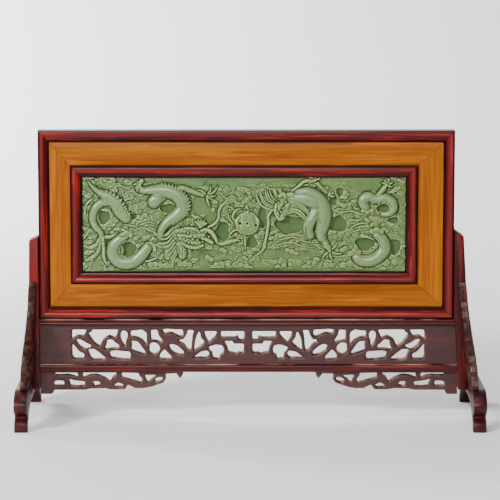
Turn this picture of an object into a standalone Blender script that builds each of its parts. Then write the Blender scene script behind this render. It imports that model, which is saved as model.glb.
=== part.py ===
"""A carved stone table screen: a framed relief panel standing in a pierced hardwood stand.

Units are metres, +Z is up and the front faces -Y. The origin is on the ground at the middle of
the stand. Carved outlines are drawn in millimetres on their own board and scaled once.
"""

import bmesh
import bpy
import numpy as np

MM = 0.001
GAP = 0.0003  # clearance between neighbouring pieces

# Framed panel.
FRAME_HALF_WIDTH = 0.2597
FRAME_MIDDLE = -0.0050  # the frame sits a little to the left in its slots
PANEL_MIDDLE = -0.0077  # and the panel a little to the left in the frame
FRAME_BOTTOM = 0.1262
FRAME_TOP = 0.3630
FRAME_BACK = 0.0110
OUTER_WIDTH = 0.0148
OUTER_SIDE_EASE = 0.0012  # the two upright outer mouldings are narrower by this much
MAT_WIDTH = 0.0287
INNER_WIDTH = 0.0148
MAT_FRONT = -0.0062
PANEL_BACK = 0.0040
PANEL_FLOOR = -0.0004
BACK_BOARD_THICKNESS = 0.0050

# Moulding sections: (share of the width from the outer edge, Y of the face).
OUTER_SECTION = [(0.0, -0.0078), (0.10, -0.0101), (0.24, -0.0110), (0.44, -0.0107), (0.54, -0.0096),
                 (0.86, -0.0070), (0.90, -0.0077), (0.965, -0.0076), (1.0, -0.0055)]
INNER_SECTION = [(0.0, -0.0072), (0.10, -0.0098), (0.28, -0.0108), (0.48, -0.0100), (0.70, -0.0080),
                 (0.90, -0.0069), (1.0, -0.0050)]

# Stand. A post's rows are (distance from the middle, height).
POST_HALF_DEPTH = 0.0160
POST_INNER = {"left": [(0.2650, 0.2305), (0.2650, 0.1262), (0.2645, 0.0366)],
              "right": [(0.2550, 0.2385), (0.2550, 0.1262), (0.2576, 0.1260), (0.2614, 0.0366)]}
POST_OUTER = {"left": [(0.2762, 0.2262), (0.2772, 0.1520), (0.2785, 0.1150), (0.2800, 0.0508)],
              "right": [(0.2662, 0.2312), (0.2700, 0.1670), (0.2721, 0.1450), (0.2750, 0.1150),
                        (0.2790, 0.0508)]}
FOOT_INNER = 0.2728
FOOT_OUTER = 0.2890
FOOT_TOP = 0.0505
UPPER_RAIL = (0.1185, 0.1259)
LOWER_RAIL = (0.0587, 0.0681)
BOARD_HALF_THICKNESS = 0.0055
BOARD_MIDDLE = -0.0026
BRACKET_HALF_THICKNESS = 0.0050
BRACKET_MIDDLE = -0.0012
SPANDREL_HALF_THICKNESS = 0.0052
SPANDREL_FOOT_X = 0.2771
SPANDREL_TOP_X = 0.2680
STAND_LEAN = 0.0215  # the stand leans this much to the left for each unit of height

# Rail sections: (Y of the front face, share of the height from the top). The back mirrors the front.
UPPER_RAIL_SECTION = [(-0.0132, 0.0), (-0.0152, 0.10), (-0.0155, 0.24), (-0.0134, 0.42),
                      (-0.0129, 0.56), (-0.0133, 0.74), (-0.0106, 1.0)]
LOWER_RAIL_SECTION = [(-0.0072, 0.0), (-0.0126, 0.12), (-0.0136, 0.24), (-0.0134, 0.42),
                      (-0.0122, 0.50), (-0.0124, 0.88), (-0.0112, 1.0)]

# Side profile of a foot, from the middle of its top round the scroll to the middle of its arch (Y, Z).
FOOT_PROFILE = [(0.0800, 0.0505), (0.0915, 0.0487), (0.1010, 0.0442), (0.1068, 0.0390),
                (0.1085, 0.0335), (0.1068, 0.0282), (0.1010, 0.0228), (0.0945, 0.0198),
                (0.0932, 0.0170), (0.0965, 0.0152), (0.1010, 0.0130), (0.1025, 0.0100),
                (0.1025, 0.0), (0.0905, 0.0), (0.0897, 0.0060), (0.0850, 0.0125), (0.0760, 0.0185),
                (0.0645, 0.0235), (0.0540, 0.0265), (0.0530, 0.0292), (0.0300, 0.0300), (0.0120, 0.0312)]

# Openings of the pierced apron board: (distance from the middle, height) in millimetres.
APRON_OPENINGS = {
    "corner_gap": [(221.5, 111.5), (203, 111.5), (205.5, 107.5), (207.5, 103.5), (215, 105), (222, 100)],
    "leaf": [(217, 98.5), (212.5, 100), (205.5, 95.5), (197.5, 91.5), (198.5, 89), (205.5, 86.5),
             (212.5, 91.5)],
    "low_corner": [(221.5, 94), (212.5, 83.5), (206, 80.5), (207.5, 75), (219.5, 75), (221.5, 78.5)],
    "under_stem": [(202, 86.5), (194, 87), (187.5, 82), (180, 76), (180.5, 74), (195, 74),
                   (198.5, 76.5), (200.5, 83)],
    "over_loop": [(196, 111.5), (163.5, 111.5), (165, 107.5), (167.5, 101), (175, 104.5), (183, 100),
                  (187, 90.5), (194, 95.5), (201.5, 107), (197, 108.5)],
    "in_loop": [(178, 98), (172, 99.5), (166, 94), (162.5, 91.5), (163.5, 88), (173, 88),
                (178.5, 86.5), (180.5, 88), (178, 92.5)],
    "long_foot": [(174.5, 83.5), (168.5, 85), (149.5, 83.5), (148, 79.5), (149.5, 74), (160.5, 74.5),
                  (173, 76.5)],
    "narrow_leaf": [(159.5, 109), (156, 110.5), (152, 108), (152, 103), (154, 97.5), (154.5, 90),
                    (158.5, 95.5), (161, 103)],
    "over_arch": [(148, 110), (133.5, 111.5), (128, 107.5), (128, 92.5), (132.5, 98.5), (140.5, 102.5),
                  (148, 103)],
    "under_arch": [(147, 97.5), (139.5, 96.5), (133.5, 89), (129, 82), (131, 80.5), (139.5, 83.5),
                   (147, 86), (146, 92.5)],
    "boot": [(122.5, 111), (114.5, 111.5), (113, 104.5), (108, 97.5), (109.5, 96), (116.5, 98),
             (122, 98.5)],
    "bean": [(123.5, 94), (117.5, 95.5), (113, 92.5), (111, 88), (113, 83), (118.5, 80), (124.5, 83.5)],
    "small_peak": [(105.5, 86.5), (97, 77.5), (97, 74), (111.5, 75), (111, 80.5)],
    "canopy": [(108.5, 111), (104, 112.5), (82.5, 111.5), (82, 104.5), (85.5, 103), (97, 108.5),
               (105.5, 106.5)],
    "bird": [(76, 111), (68.5, 111), (70.5, 103.5), (72, 86), (75.5, 86), (81, 94), (87, 96), (86, 99),
             (81, 99), (77, 106)],
    "blade": [(61, 108.5), (59.5, 101), (55, 96), (61, 90), (68, 85), (67, 94), (65.5, 102),
              (62.5, 108.5)],
    "slipper": [(100, 91.5), (95.5, 93.5), (88.5, 90.5), (81, 83.5), (82, 79.5), (90, 81), (97, 85)],
    "fin": [(69.5, 76), (59.5, 83.5), (51, 85), (49, 80), (52.5, 76), (61, 76.5)],
    "drop": [(55, 109.5), (39.5, 109.5), (40.5, 104.5), (49.5, 95.5), (51, 98.5), (54, 103.5)],
    "cap": [(50, 89.5), (40.5, 92.5), (33, 91.5), (31, 87.5), (31.5, 81.5), (36, 80), (36.5, 74.5),
            (44.5, 76), (45, 82.5), (48, 84)],
    "upper_fret": [(34.5, 109.5), (5, 109.5), (5.5, 99), (12, 99), (12.5, 104), (16.5, 102), (34, 102)],
    "lower_fret": [(30, 97), (19.5, 97), (18.5, 93.5), (5.5, 93.5), (6, 82.5), (13, 83), (16, 81),
                   (19.5, 83), (24.5, 83), (26.5, 90)],
}

# Corner bracket under the lower rail: outline from the rail down and out to the post, then openings.
BRACKET_OUTLINE = [(83, 58.4), (84, 53.5), (87, 49), (91, 53.5), (92, 55.5), (105.5, 55), (105, 48.5),
                   (108.5, 43.5), (123.5, 38.5), (133.5, 36.5), (143.5, 36.5), (153.5, 41),
                   (156, 36.5), (158, 35), (174.5, 35), (182, 36.5), (186.5, 36.5), (201, 36),
                   (207, 34.5), (246.5, 34.5), (246.5, 32.5), (249, 29.5)]
BRACKET_OPENINGS = {
    "end_slot": [(246, 56.5), (216.5, 56.5), (216, 50.5), (222, 53), (229.5, 54.5), (238.5, 54),
                 (244.5, 54)],
    "end_low": [(246, 45), (242, 46.5), (234, 46), (233.5, 40.5), (246, 40.5)],
    "low_leaf": [(227.5, 48.5), (219.5, 46.5), (207.5, 45), (208, 40.5), (217.5, 39.5), (225.5, 40.5)],
    "long_wave": [(210, 56.5), (168, 56.5), (167.5, 54.5), (172.5, 51.5), (175.5, 45.5), (182, 50.5),
                  (192, 54.5), (201, 54), (210, 50.5)],
    "eye": [(197, 45.5), (190, 45.5), (187, 41.5), (195.5, 39.5)],
    "mid_wave": [(161, 56.5), (139.5, 56), (139, 52.5), (135.5, 49), (136.5, 44), (144.5, 46.5),
                 (160.5, 51)],
    "ring": [(170.5, 41), (165.5, 44), (159, 41.5), (160, 38.5), (170, 39)],
    "wedge": [(132, 53.5), (118.5, 53.5), (119, 51.5), (124, 48.5), (128, 44.5), (129.5, 46.5)],
    "tip_ring": [(119.5, 48.5), (114, 51), (109.5, 50.5), (110, 46.5), (117.5, 44.5)],
}

# Standing spandrel: (distance from the post, height) in millimetres, tip first, down the scalloped edge.
SPANDREL_OUTLINE = [(0, 174), (4, 174), (5, 169), (8, 168), (9, 154), (7, 150), (9, 144), (14, 139),
                    (16, 132), (22, 126), (26, 119), (34, 114), (40, 106), (48, 102), (54, 95),
                    (61, 91), (63, 84), (68, 80), (71, 73), (69, 66), (72, 61), (74, 55), (74, 51),
                    (0, 51)]
SPANDREL_OPENINGS = {
    "tip_drop": [(4, 140), (8, 141), (12, 132), (12, 123), (6, 120), (4, 128)],
    "upper_leaf": [(5, 114), (14, 117), (20, 118), (27, 112), (33, 106), (25, 101), (14, 106)],
    "stem_slot": [(5, 106), (11, 100), (19, 95), (21, 88), (12, 83), (5, 86)],
    "lower_leaf": [(28, 96), (38, 99), (48, 93), (56, 86), (50, 80), (38, 78), (29, 84)],
    "heel": [(6, 77), (14, 76), (23, 79), (27, 71), (25, 62), (15, 58), (6, 60)],
    "toe": [(34, 71), (44, 73), (60, 76), (65, 70), (62, 62), (48, 57), (35, 60)],
}

# Relief panel, drawn from its own middle in millimetres. Limbs: (across, up, half width) along a spine.
LEFT_DRAGON = {
    "limb": (8.6, [(-187, 45.5, 2.5), (-180.5, 40.5, 4.5), (-169, 34.5, 7.5), (-160.5, 26.5, 8.5),
                   (-155, 16, 8.5), (-150, 8, 7.8)]),
    "branch": (7.4, [(-169, 27, 4.5), (-179.5, 27.5, 4.9), (-186.5, 18.5, 4.9), (-188.5, 7, 4.6),
                     (-186, -3.5, 4.1), (-180.5, -12, 3.6), (-178, -21, 3), (-183.5, -31, 2.3)]),
    "coil": (8.8, [(-150.5, -16, 5.7), (-160.5, -25, 7), (-163.5, -36, 7.9), (-159, -46, 8.3),
                   (-148.5, -49.5, 8.3), (-136, -46.5, 8), (-126, -38.5, 7.4), (-119, -29, 6)]),
    "thigh": (9.0, [(-97.5, 35.5, 6.9), (-107.5, 32, 8.2), (-112.5, 27, 8)]),
    "body": (9.4, [(-126, 42.5, 4.5), (-115, 42.5, 6.5), (-103, 41, 8.3), (-90, 37.5, 9),
                   (-81.5, 30.5, 9), (-77, 22, 8.5), (-82, 13, 7.3), (-91.5, 7, 6.3),
                   (-98.5, 0.5, 5.9), (-102.5, -6.5, 5.4), (-102.5, -12, 4.5)]),
    "arm": (6.6, [(-84, 45, 3.8), (-72.5, 46, 4), (-61, 41.5, 3.6), (-51, 36.5, 3)]),
    "top_arm": (7.6, [(-121.5, 39.5, 4.1), (-128, 44.5, 3.5), (-131, 50, 3), (-129, 55, 2.5)]),
    "head": (9.2, [(-84, -12, 8), (-74, -14, 8.5), (-62, -12.5, 8), (-50, -12, 6), (-41, -15, 4)]),
    "jaw": (7.6, [(-80, -26, 6), (-68, -23, 5), (-56, -21, 4)]),
    "horns": (8.0, [(-66, -2, 2.8), (-56, 2.5, 4), (-48, 4, 3)]),
    "upper_whisker": (6.4, [(-44, -3.5, 1.8), (-32.5, 4, 1.8), (-31, 17, 1.6), (-18, 35.5, 1.2)]),
    "lower_whisker": (6.2, [(-39.5, -19, 1.8), (-26.5, -25, 1.8), (-7.5, -19, 1.2)]),
}
RIGHT_DRAGON = {
    "body": (9.4, [(70.5, 37, 5), (78, 38.5, 6.3), (87.5, 35, 7.9), (95, 25, 8.8), (97.5, 12, 9.3),
                   (92, -2, 9.3), (82.5, -11, 7)]),
    "leg": (7.6, [(98.5, -2, 7), (102, -13.5, 5.5), (104.5, -24, 4), (107.5, -31, 3.3)]),
    "top_arm": (7.0, [(58, 40.5, 3), (66.5, 49.5, 3.8), (76, 54.5, 4), (87.5, 53.5, 3.8),
                      (95, 47, 3.5), (103.5, 41.5, 2.8)]),
    "loop": (8.8, [(153.5, 22.5, 6.9), (150, 26.5, 7.5), (154, 32, 7), (165, 34, 6.2),
                   (176, 33, 6.3), (185, 29, 5.9), (187.5, 20.5, 5), (183, 13, 3.8)]),
    "claw": (7.4, [(163.5, 34.5, 4.3), (170.5, 42, 3.3), (176, 49.5, 2.5)]),
    "coil": (8.8, [(139.5, -39.5, 6.8), (151, -45, 7.5), (163.5, -41.5, 7.7), (171, -31.5, 7.5),
                   (172.5, -21.5, 7), (169, -14, 5.5)]),
    "head": (9.2, [(64, 28, 6), (54, 29, 6.5), (46, 24, 6), (40, 16, 5), (37, 9, 3.5)]),
    "mane": (7.4, [(58, 20, 5), (70, 24, 5), (80, 16, 3)]),
    "antler": (6.8, [(40, 33, 3), (28, 30, 4), (18, 27, 3)]),
    "whisker": (6.2, [(31, 17, 1.8), (30, 3, 1.8), (26, -12, 1.6), (22, -36, 1.4)]),
    "tail": (6.0, [(123.5, -17.5, 1.4), (133.5, -10.5, 2), (148, -6, 2.3), (162.5, -1, 2),
                   (175, 7, 1.6)]),
}
# Pockets cut through the clouds down to the floor: (across, up, half width, half height).
POCKETS = [(57.5, -0.5, 20, 12), (118, 1, 10.7, 9.4), (119.5, 41.5, 4.4, 5), (112, 31.5, 4.4, 6.3),
           (172.5, 21, 7, 4.8), (187, 5.5, 6.5, 3.8), (152.5, -25, 10.7, 8.2), (188.5, -28, 6.9, 8.8),
           (10.5, -22, 7.5, 7.9), (22.5, 9.5, 5.3, 12.6), (-169, -27, 5, 8.2), (-97.5, 19.5, 8.8, 6.3),
           (-145.5, -34.5, 7.5, 10.7), (-173, 10.5, 8.8, 10), (-24, -9, 9, 11)]
# Smooth background left between the clouds: (across, up, half width, half height).
BACKGROUND = [(0, 60, 100, 15), (150, 52, 26, 10), (-50, 55, 60, 12), (-55, 22, 16, 12),
              (-80, -62, 70, 8), (60, -62, 60, 7)]
PEARL = (4, 1.5, 15.4)
PEARL_TOP = 8.6
CLOUD_TOP = 4.6
BACKGROUND_TOP = 2.6
RELIEF_STEP_MM = 1.5
RELIEF_SHARE_KEPT = 0.105


def material(name, colour, roughness, metallic=0.0):
    """Return a Principled material of one colour."""
    made = bpy.data.materials.new(name)
    made.use_nodes = True
    shader = made.node_tree.nodes["Principled BSDF"]
    shader.inputs["Base Color"].default_value = (*colour, 1.0)
    shader.inputs["Roughness"].default_value = roughness
    shader.inputs["Metallic"].default_value = metallic
    return made


def add_object(name, mesh_builder, finish):
    """Turn a bmesh into a named object with outward faces and one material."""
    bmesh.ops.recalc_face_normals(mesh_builder, faces=mesh_builder.faces)
    if mesh_builder.calc_volume(signed=True) < 0:
        bmesh.ops.reverse_faces(mesh_builder, faces=mesh_builder.faces)
    mesh = bpy.data.meshes.new(name)
    mesh_builder.to_mesh(mesh)
    mesh_builder.free()
    mesh.materials.append(finish)
    made = bpy.data.objects.new(name, mesh)
    bpy.context.scene.collection.objects.link(made)
    return made


def loft(name, first_ring, second_ring, finish):
    """Join two matching rings of points into one closed solid."""
    builder = bmesh.new()
    first = [builder.verts.new(point) for point in first_ring]
    second = [builder.verts.new(point) for point in second_ring]
    builder.faces.new(first)
    builder.faces.new(second)
    for index in range(len(first)):
        after = (index + 1) % len(first)
        builder.faces.new((first[index], first[after], second[after], second[index]))
    return add_object(name, builder, finish)


def plate(name, outline, openings, place, finish):
    """Fill an outline with openings, thicken it and put it in place.

    place(a, b, side) gives the world position of board point (a, b) on the front (-1) or back (+1).
    """
    builder = bmesh.new()
    edges = []
    for ring in [outline, *openings]:
        points = [builder.verts.new((a, b, 0.0)) for a, b in ring]
        for index, point in enumerate(points):
            edges.append(builder.edges.new((point, points[(index + 1) % len(points)])))
    bmesh.ops.triangle_fill(builder, use_beauty=True, use_dissolve=False, edges=edges)
    front = list(builder.verts)
    flat = {point: (point.co.x, point.co.y) for point in front}
    grown = bmesh.ops.extrude_face_region(builder, geom=list(builder.faces), use_keep_orig=True)
    back = [item for item in grown["geom"] if isinstance(item, bmesh.types.BMVert)]
    flat.update({point: (point.co.x, point.co.y) for point in back})
    for point in front:
        point.co = place(*flat[point], -1)
    for point in back:
        point.co = place(*flat[point], 1)
    return add_object(name, builder, finish)


def mirrored(ring):
    """Mirror a ring about the middle line, keeping its winding."""
    return [(-a, b) for a, b in reversed(ring)]


def post_inner_x(side_name, height):
    """Distance of a post's inner face from the middle plane at a height."""
    rows = sorted(POST_INNER[side_name], key=lambda row: row[1])
    return float(np.interp(height, [row[1] for row in rows], [row[0] for row in rows]))


def frame_ring(inset):
    """Middle, half width and half height of the frame's rectangle at an inset from its outer edge.

    The upright outer mouldings are a little narrower than the level ones, and the mat is narrower
    on the left, so the middle moves across it.
    """
    outer_share = min(inset / OUTER_WIDTH, 1.0)
    mat_share = min(max((inset - OUTER_WIDTH - GAP) / MAT_WIDTH, 0.0), 1.0)
    middle = FRAME_MIDDLE + (PANEL_MIDDLE - FRAME_MIDDLE) * mat_share
    half_width = FRAME_HALF_WIDTH - inset + OUTER_SIDE_EASE * outer_share
    return middle, half_width, 0.5 * (FRAME_TOP - FRAME_BOTTOM) - inset


def mitred_lengths(prefix, start, section, back, finish):
    """Build the four mitred lengths of one frame border from its section."""
    middle = 0.5 * (FRAME_TOP + FRAME_BOTTOM)
    trim = GAP * 0.5 * 2 ** 0.5
    profile = [(section[0][0], back), *section, (section[-1][0], back)]
    made = []
    for side, along_x, sign in (("top", True, 1), ("bottom", True, -1),
                                ("left", False, -1), ("right", False, 1)):
        rings = []
        for end in (-1, 1):
            ring = []
            for inset, depth in profile:
                centre, half_width, half_height = frame_ring(start + inset)
                if along_x:
                    ring.append((centre + end * (half_width - trim), depth, middle + sign * half_height))
                else:
                    ring.append((centre + sign * half_width, depth, middle + end * (half_height - trim)))
            rings.append(ring)
        made.append(loft(f"{prefix}_{side}", rings[0], rings[1], finish))
    return made


def build_frame(rosewood, pale_wood, board_wood):
    """Outer moulding, pale wood mat, inner moulding and the board that closes the back."""
    outer = [(share * OUTER_WIDTH, depth) for share, depth in OUTER_SECTION]
    mitred_lengths("outer_moulding", 0.0, outer, FRAME_BACK, rosewood)
    mat_start = OUTER_WIDTH + GAP
    mat = [(0.0, MAT_FRONT + 0.0004), (0.0006, MAT_FRONT), (MAT_WIDTH - 0.0006, MAT_FRONT),
           (MAT_WIDTH, MAT_FRONT + 0.0004)]
    mitred_lengths("mat_board", mat_start, mat, PANEL_BACK, pale_wood)
    inner_start = mat_start + MAT_WIDTH + GAP
    inner = [(share * INNER_WIDTH, depth) for share, depth in INNER_SECTION]
    mitred_lengths("inner_moulding", inner_start, inner, PANEL_BACK, rosewood)
    centre, half_width, half_height = frame_ring(mat_start)
    middle = 0.5 * (FRAME_TOP + FRAME_BOTTOM)
    corners = [(-1, -1), (1, -1), (1, 1), (-1, 1)]
    front = PANEL_BACK + GAP
    rings = [[(centre + a * half_width, depth, middle + b * half_height) for a, b in corners]
             for depth in (front, front + BACK_BOARD_THICKNESS)]
    loft("back_board", rings[0], rings[1], board_wood)
    return inner_start + INNER_WIDTH + GAP


def smooth_spine(points, steps=6):
    """Sample a Catmull-Rom curve through rows of numbers."""
    rows = np.array([points[0], *points, points[-1]], dtype=float)
    samples = []
    for index in range(1, len(rows) - 2):
        before, start, end, after = rows[index - 1:index + 3]
        for step in range(steps):
            t = step / steps
            samples.append(0.5 * (2 * start + (end - before) * t
                                  + (2 * before - 5 * start + 4 * end - after) * t ** 2
                                  + (3 * start - before - 3 * end + after) * t ** 3))
    samples.append(rows[-2])
    return np.array(samples)


def limb_height(across, up, top, spine):
    """Height of a round-backed limb whose half width changes along its spine."""
    height = np.zeros_like(across)
    samples = smooth_spine(spine)
    for start, end in zip(samples[:-1], samples[1:]):
        run = end[:2] - start[:2]
        share = ((across - start[0]) * run[0] + (up - start[1]) * run[1]) / max(run @ run, 1e-9)
        share = np.clip(share, 0.0, 1.0)
        distance = np.hypot(across - start[0] - share * run[0], up - start[1] - share * run[1])
        radius = start[2] + (end[2] - start[2]) * share
        inside = np.clip(1.0 - (distance / radius) ** 2, 0.0, 1.0)
        height = np.maximum(height, top * inside ** 0.4)
    return height


def soft_ellipse(across, up, centre_across, centre_up, half_width, half_height, edge=0.18):
    """One inside an ellipse, zero outside, with a short slope between."""
    reach = np.hypot((across - centre_across) / half_width, (up - centre_up) / half_height)
    share = np.clip((1.0 + edge - reach) / (2 * edge), 0.0, 1.0)
    return share * share * (3 - 2 * share)


def cloud_swell(across, up):
    """Rolling lobes of the cloud bank."""
    first = np.sin(across * 0.31 + 1.7 * np.sin(up * 0.17)) * np.cos(up * 0.37 + 1.3 * np.sin(across * 0.11))
    second = np.sin(across * 0.13 - up * 0.29 + 0.8)
    return 0.55 * first + 0.35 * second


def relief_height(across, up):
    """Height of the carving above its floor, in millimetres."""
    clouds = CLOUD_TOP + cloud_swell(across, up)
    for place in BACKGROUND:
        share = soft_ellipse(across, up, *place)
        clouds = clouds * (1 - share) + BACKGROUND_TOP * share
    for place in POCKETS:
        clouds = clouds * (1 - soft_ellipse(across, up, *place))
    height = clouds
    for dragon in (LEFT_DRAGON, RIGHT_DRAGON):
        for top, spine in dragon.values():
            height = np.maximum(height, limb_height(across, up, top, spine))
    pearl_across, pearl_up, radius = PEARL
    reach = np.hypot(across - pearl_across, up - pearl_up) / radius
    return np.maximum(height, PEARL_TOP * np.clip(1.0 - reach ** 2, 0.0, 1.0) ** 0.35)


def build_panel(opening_inset, stone):
    """The carved slab: a height field over its floor, thinned to the triangles that the form needs."""
    centre, half_width, half_height = frame_ring(opening_inset)
    middle = 0.5 * (FRAME_TOP + FRAME_BOTTOM)
    columns = int(round(2 * half_width / (RELIEF_STEP_MM * MM)))
    rows = int(round(2 * half_height / (RELIEF_STEP_MM * MM)))
    across, up = np.meshgrid(np.linspace(-half_width, half_width, columns + 1),
                             np.linspace(-half_height, half_height, rows + 1))
    front = PANEL_FLOOR - relief_height(across / MM, up / MM) * MM
    width = columns + 1
    points = np.stack([centre + across.ravel(), front.ravel(), middle + up.ravel()], axis=1).tolist()
    faces = []
    for row in range(rows):
        for column in range(columns):
            corner = row * width + column
            faces.append((corner, corner + 1, corner + width + 1, corner + width))
    rim = list(range(columns)) + [row * width + columns for row in range(rows)]
    rim += [rows * width + column for column in range(columns, 0, -1)]
    rim += [row * width for row in range(rows, 0, -1)]
    first_back = len(points)
    for corner in rim:
        points.append((points[corner][0], PANEL_BACK, points[corner][2]))
    for index, corner in enumerate(rim):
        after = (index + 1) % len(rim)
        faces.append((rim[after], corner, first_back + index, first_back + after))
    faces.append(tuple(first_back + index for index in reversed(range(len(rim)))))
    mesh = bpy.data.meshes.new("stone_panel")
    mesh.from_pydata(points, [], faces)
    mesh.materials.append(stone)
    panel = bpy.data.objects.new("stone_panel", mesh)
    bpy.context.scene.collection.objects.link(panel)
    thin = panel.modifiers.new("Thin", "DECIMATE")
    thin.ratio = RELIEF_SHARE_KEPT
    return panel


def rail(name, span, section, finish):
    """A moulded rail running between the posts."""
    bottom, top = span
    face = [(depth, top - share * (top - bottom)) for depth, share in section]
    ring = face + [(-depth, height) for depth, height in reversed(face)]
    ends = []
    for side_name, sign in (("left", -1), ("right", 1)):
        ends.append([(sign * (post_inner_x(side_name, height) - GAP), depth, height)
                     for depth, height in ring])
    return loft(name, ends[0], ends[1], finish)


def build_apron(lacquer):
    """Upper rail, pierced board, lower rail and the two corner brackets."""
    rail("upper_rail", UPPER_RAIL, UPPER_RAIL_SECTION, lacquer)
    rail("lower_rail", LOWER_RAIL, LOWER_RAIL_SECTION, lacquer)
    bottom, top = LOWER_RAIL[1] + GAP, UPPER_RAIL[0] - GAP
    outline = [(sign * (post_inner_x(side_name, height) - GAP), height)
               for side_name, sign, height in (("left", -1, bottom), ("right", 1, bottom),
                                               ("right", 1, top), ("left", -1, top))]
    openings = []
    for ring in APRON_OPENINGS.values():
        scaled = [(a * MM, b * MM) for a, b in ring]
        openings += [[(a + BOARD_MIDDLE, b) for a, b in part] for part in (scaled, mirrored(scaled))]
    plate("pierced_board", outline, openings,
          lambda a, b, side: (a, side * BOARD_HALF_THICKNESS, b), lacquer)
    for side_name, sign in (("left", -1), ("right", 1)):
        shift = sign * BRACKET_MIDDLE
        outline = [(a * MM + shift, b * MM) for a, b in BRACKET_OUTLINE]
        outline += [(post_inner_x(side_name, height) - GAP, height)
                    for height in (BRACKET_OUTLINE[-1][1] * MM, BRACKET_OUTLINE[0][1] * MM)]
        holes = [[(a * MM + shift, b * MM) for a, b in ring] for ring in BRACKET_OPENINGS.values()]
        plate(f"corner_bracket_{side_name}", outline, holes,
              lambda a, b, side, sign=sign: (sign * a, side * BRACKET_HALF_THICKNESS, b), lacquer)


def build_post(side_name, sign, lacquer):
    """A post with a slanted top whose outer part stands on the foot."""
    inner = POST_INNER[side_name]
    outline = [inner[0], *POST_OUTER[side_name], (FOOT_INNER - GAP, FOOT_TOP + GAP),
               (FOOT_INNER - GAP, inner[-1][1]), *reversed(inner[1:])]
    rings = [[(sign * x, depth, z) for x, z in outline] for depth in (-POST_HALF_DEPTH, POST_HALF_DEPTH)]
    return loft(f"post_{side_name}", rings[0], rings[1], lacquer)


def build_foot(side_name, sign, lacquer):
    """A foot running front to back, with a scrolled toe at each end and a shaped arch."""
    outline = FOOT_PROFILE + [(-y, z) for y, z in reversed(FOOT_PROFILE)]
    rings = [[(sign * x, y, z) for y, z in outline] for x in (FOOT_INNER, FOOT_OUTER)]
    return loft(f"foot_{side_name}", rings[0], rings[1], lacquer)


def build_spandrel(face_name, side_name, sign_x, sign_y, lacquer):
    """A pierced scroll board standing on the foot against the post."""
    low = SPANDREL_OUTLINE[-1][1] * MM
    high = SPANDREL_OUTLINE[0][1] * MM
    face = POST_HALF_DEPTH + GAP

    def place(out, height, side):
        rise = (height - low) / (high - low)
        centre = SPANDREL_FOOT_X + (SPANDREL_TOP_X - SPANDREL_FOOT_X) * rise
        across = sign_x * (centre + side * SPANDREL_HALF_THICKNESS) - STAND_LEAN * height
        return across, sign_y * (face + out), height

    outline = [(a * MM, b * MM) for a, b in SPANDREL_OUTLINE]
    holes = [[(a * MM, b * MM) for a, b in ring] for ring in SPANDREL_OPENINGS.values()]
    return plate(f"spandrel_{face_name}_{side_name}", outline, holes, place, lacquer)


def main():
    for old in list(bpy.data.objects):
        bpy.data.objects.remove(old, do_unlink=True)
    rosewood = material("rosewood", (0.16, 0.012, 0.010), 0.28)
    pale_wood = material("pale_wood", (0.50, 0.20, 0.035), 0.38)
    board_wood = material("board_wood", (0.10, 0.022, 0.012), 0.55)
    lacquer = material("stand_lacquer", (0.055, 0.012, 0.011), 0.32)
    stone = material("green_stone", (0.20, 0.32, 0.17), 0.42)
    opening_inset = build_frame(rosewood, pale_wood, board_wood)
    build_panel(opening_inset, stone)
    build_apron(lacquer)
    for side_name, sign_x in (("left", -1), ("right", 1)):
        build_post(side_name, sign_x, lacquer)
        build_foot(side_name, sign_x, lacquer)
        for face_name, sign_y in (("front", -1), ("rear", 1)):
            build_spandrel(face_name, side_name, sign_x, sign_y, lacquer)


main()
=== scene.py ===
"""Looks for a carved stone table screen: relief panel, framed mouldings, pierced stand and light."""

from __future__ import annotations

import logging
import math
from collections.abc import Callable, Iterable, Mapping, Sequence
from dataclasses import dataclass, field
from enum import Enum

import bmesh
import bpy
import numpy as np
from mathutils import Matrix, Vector
from mathutils.geometry import delaunay_2d_cdt


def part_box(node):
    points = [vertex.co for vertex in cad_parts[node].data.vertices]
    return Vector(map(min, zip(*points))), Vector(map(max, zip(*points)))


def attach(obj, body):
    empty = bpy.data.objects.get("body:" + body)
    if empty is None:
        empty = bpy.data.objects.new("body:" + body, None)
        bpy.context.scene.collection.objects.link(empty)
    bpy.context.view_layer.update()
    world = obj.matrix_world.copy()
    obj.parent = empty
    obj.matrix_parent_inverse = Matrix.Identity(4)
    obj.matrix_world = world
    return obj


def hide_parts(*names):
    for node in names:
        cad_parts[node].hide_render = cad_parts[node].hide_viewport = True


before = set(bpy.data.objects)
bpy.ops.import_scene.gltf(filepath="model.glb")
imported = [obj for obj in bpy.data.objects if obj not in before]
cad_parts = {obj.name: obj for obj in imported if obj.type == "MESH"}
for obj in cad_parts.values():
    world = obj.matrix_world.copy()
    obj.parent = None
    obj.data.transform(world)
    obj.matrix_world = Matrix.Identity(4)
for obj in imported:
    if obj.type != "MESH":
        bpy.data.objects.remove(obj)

LOG = logging.getLogger("table_screen")
MM = 0.001
BODY = "root"
SIDES = (("left", -1), ("right", 1))

Point = tuple[float, float]
Colour = tuple[float, float, float]
Ring = list[Point]
Spine = list[tuple[float, float, float]]
Socket = bpy.types.NodeSocket


class Grain(Enum):
    """Which way the wood's fibres run in a piece; the value is the turn of its pattern in degrees."""

    ACROSS = (0.0, 0.0, 0.0)
    UPRIGHT = (0.0, 90.0, 0.0)
    DEEP = (0.0, 0.0, -90.0)


# --------------------------------------------------------------------------------------- finishes


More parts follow.
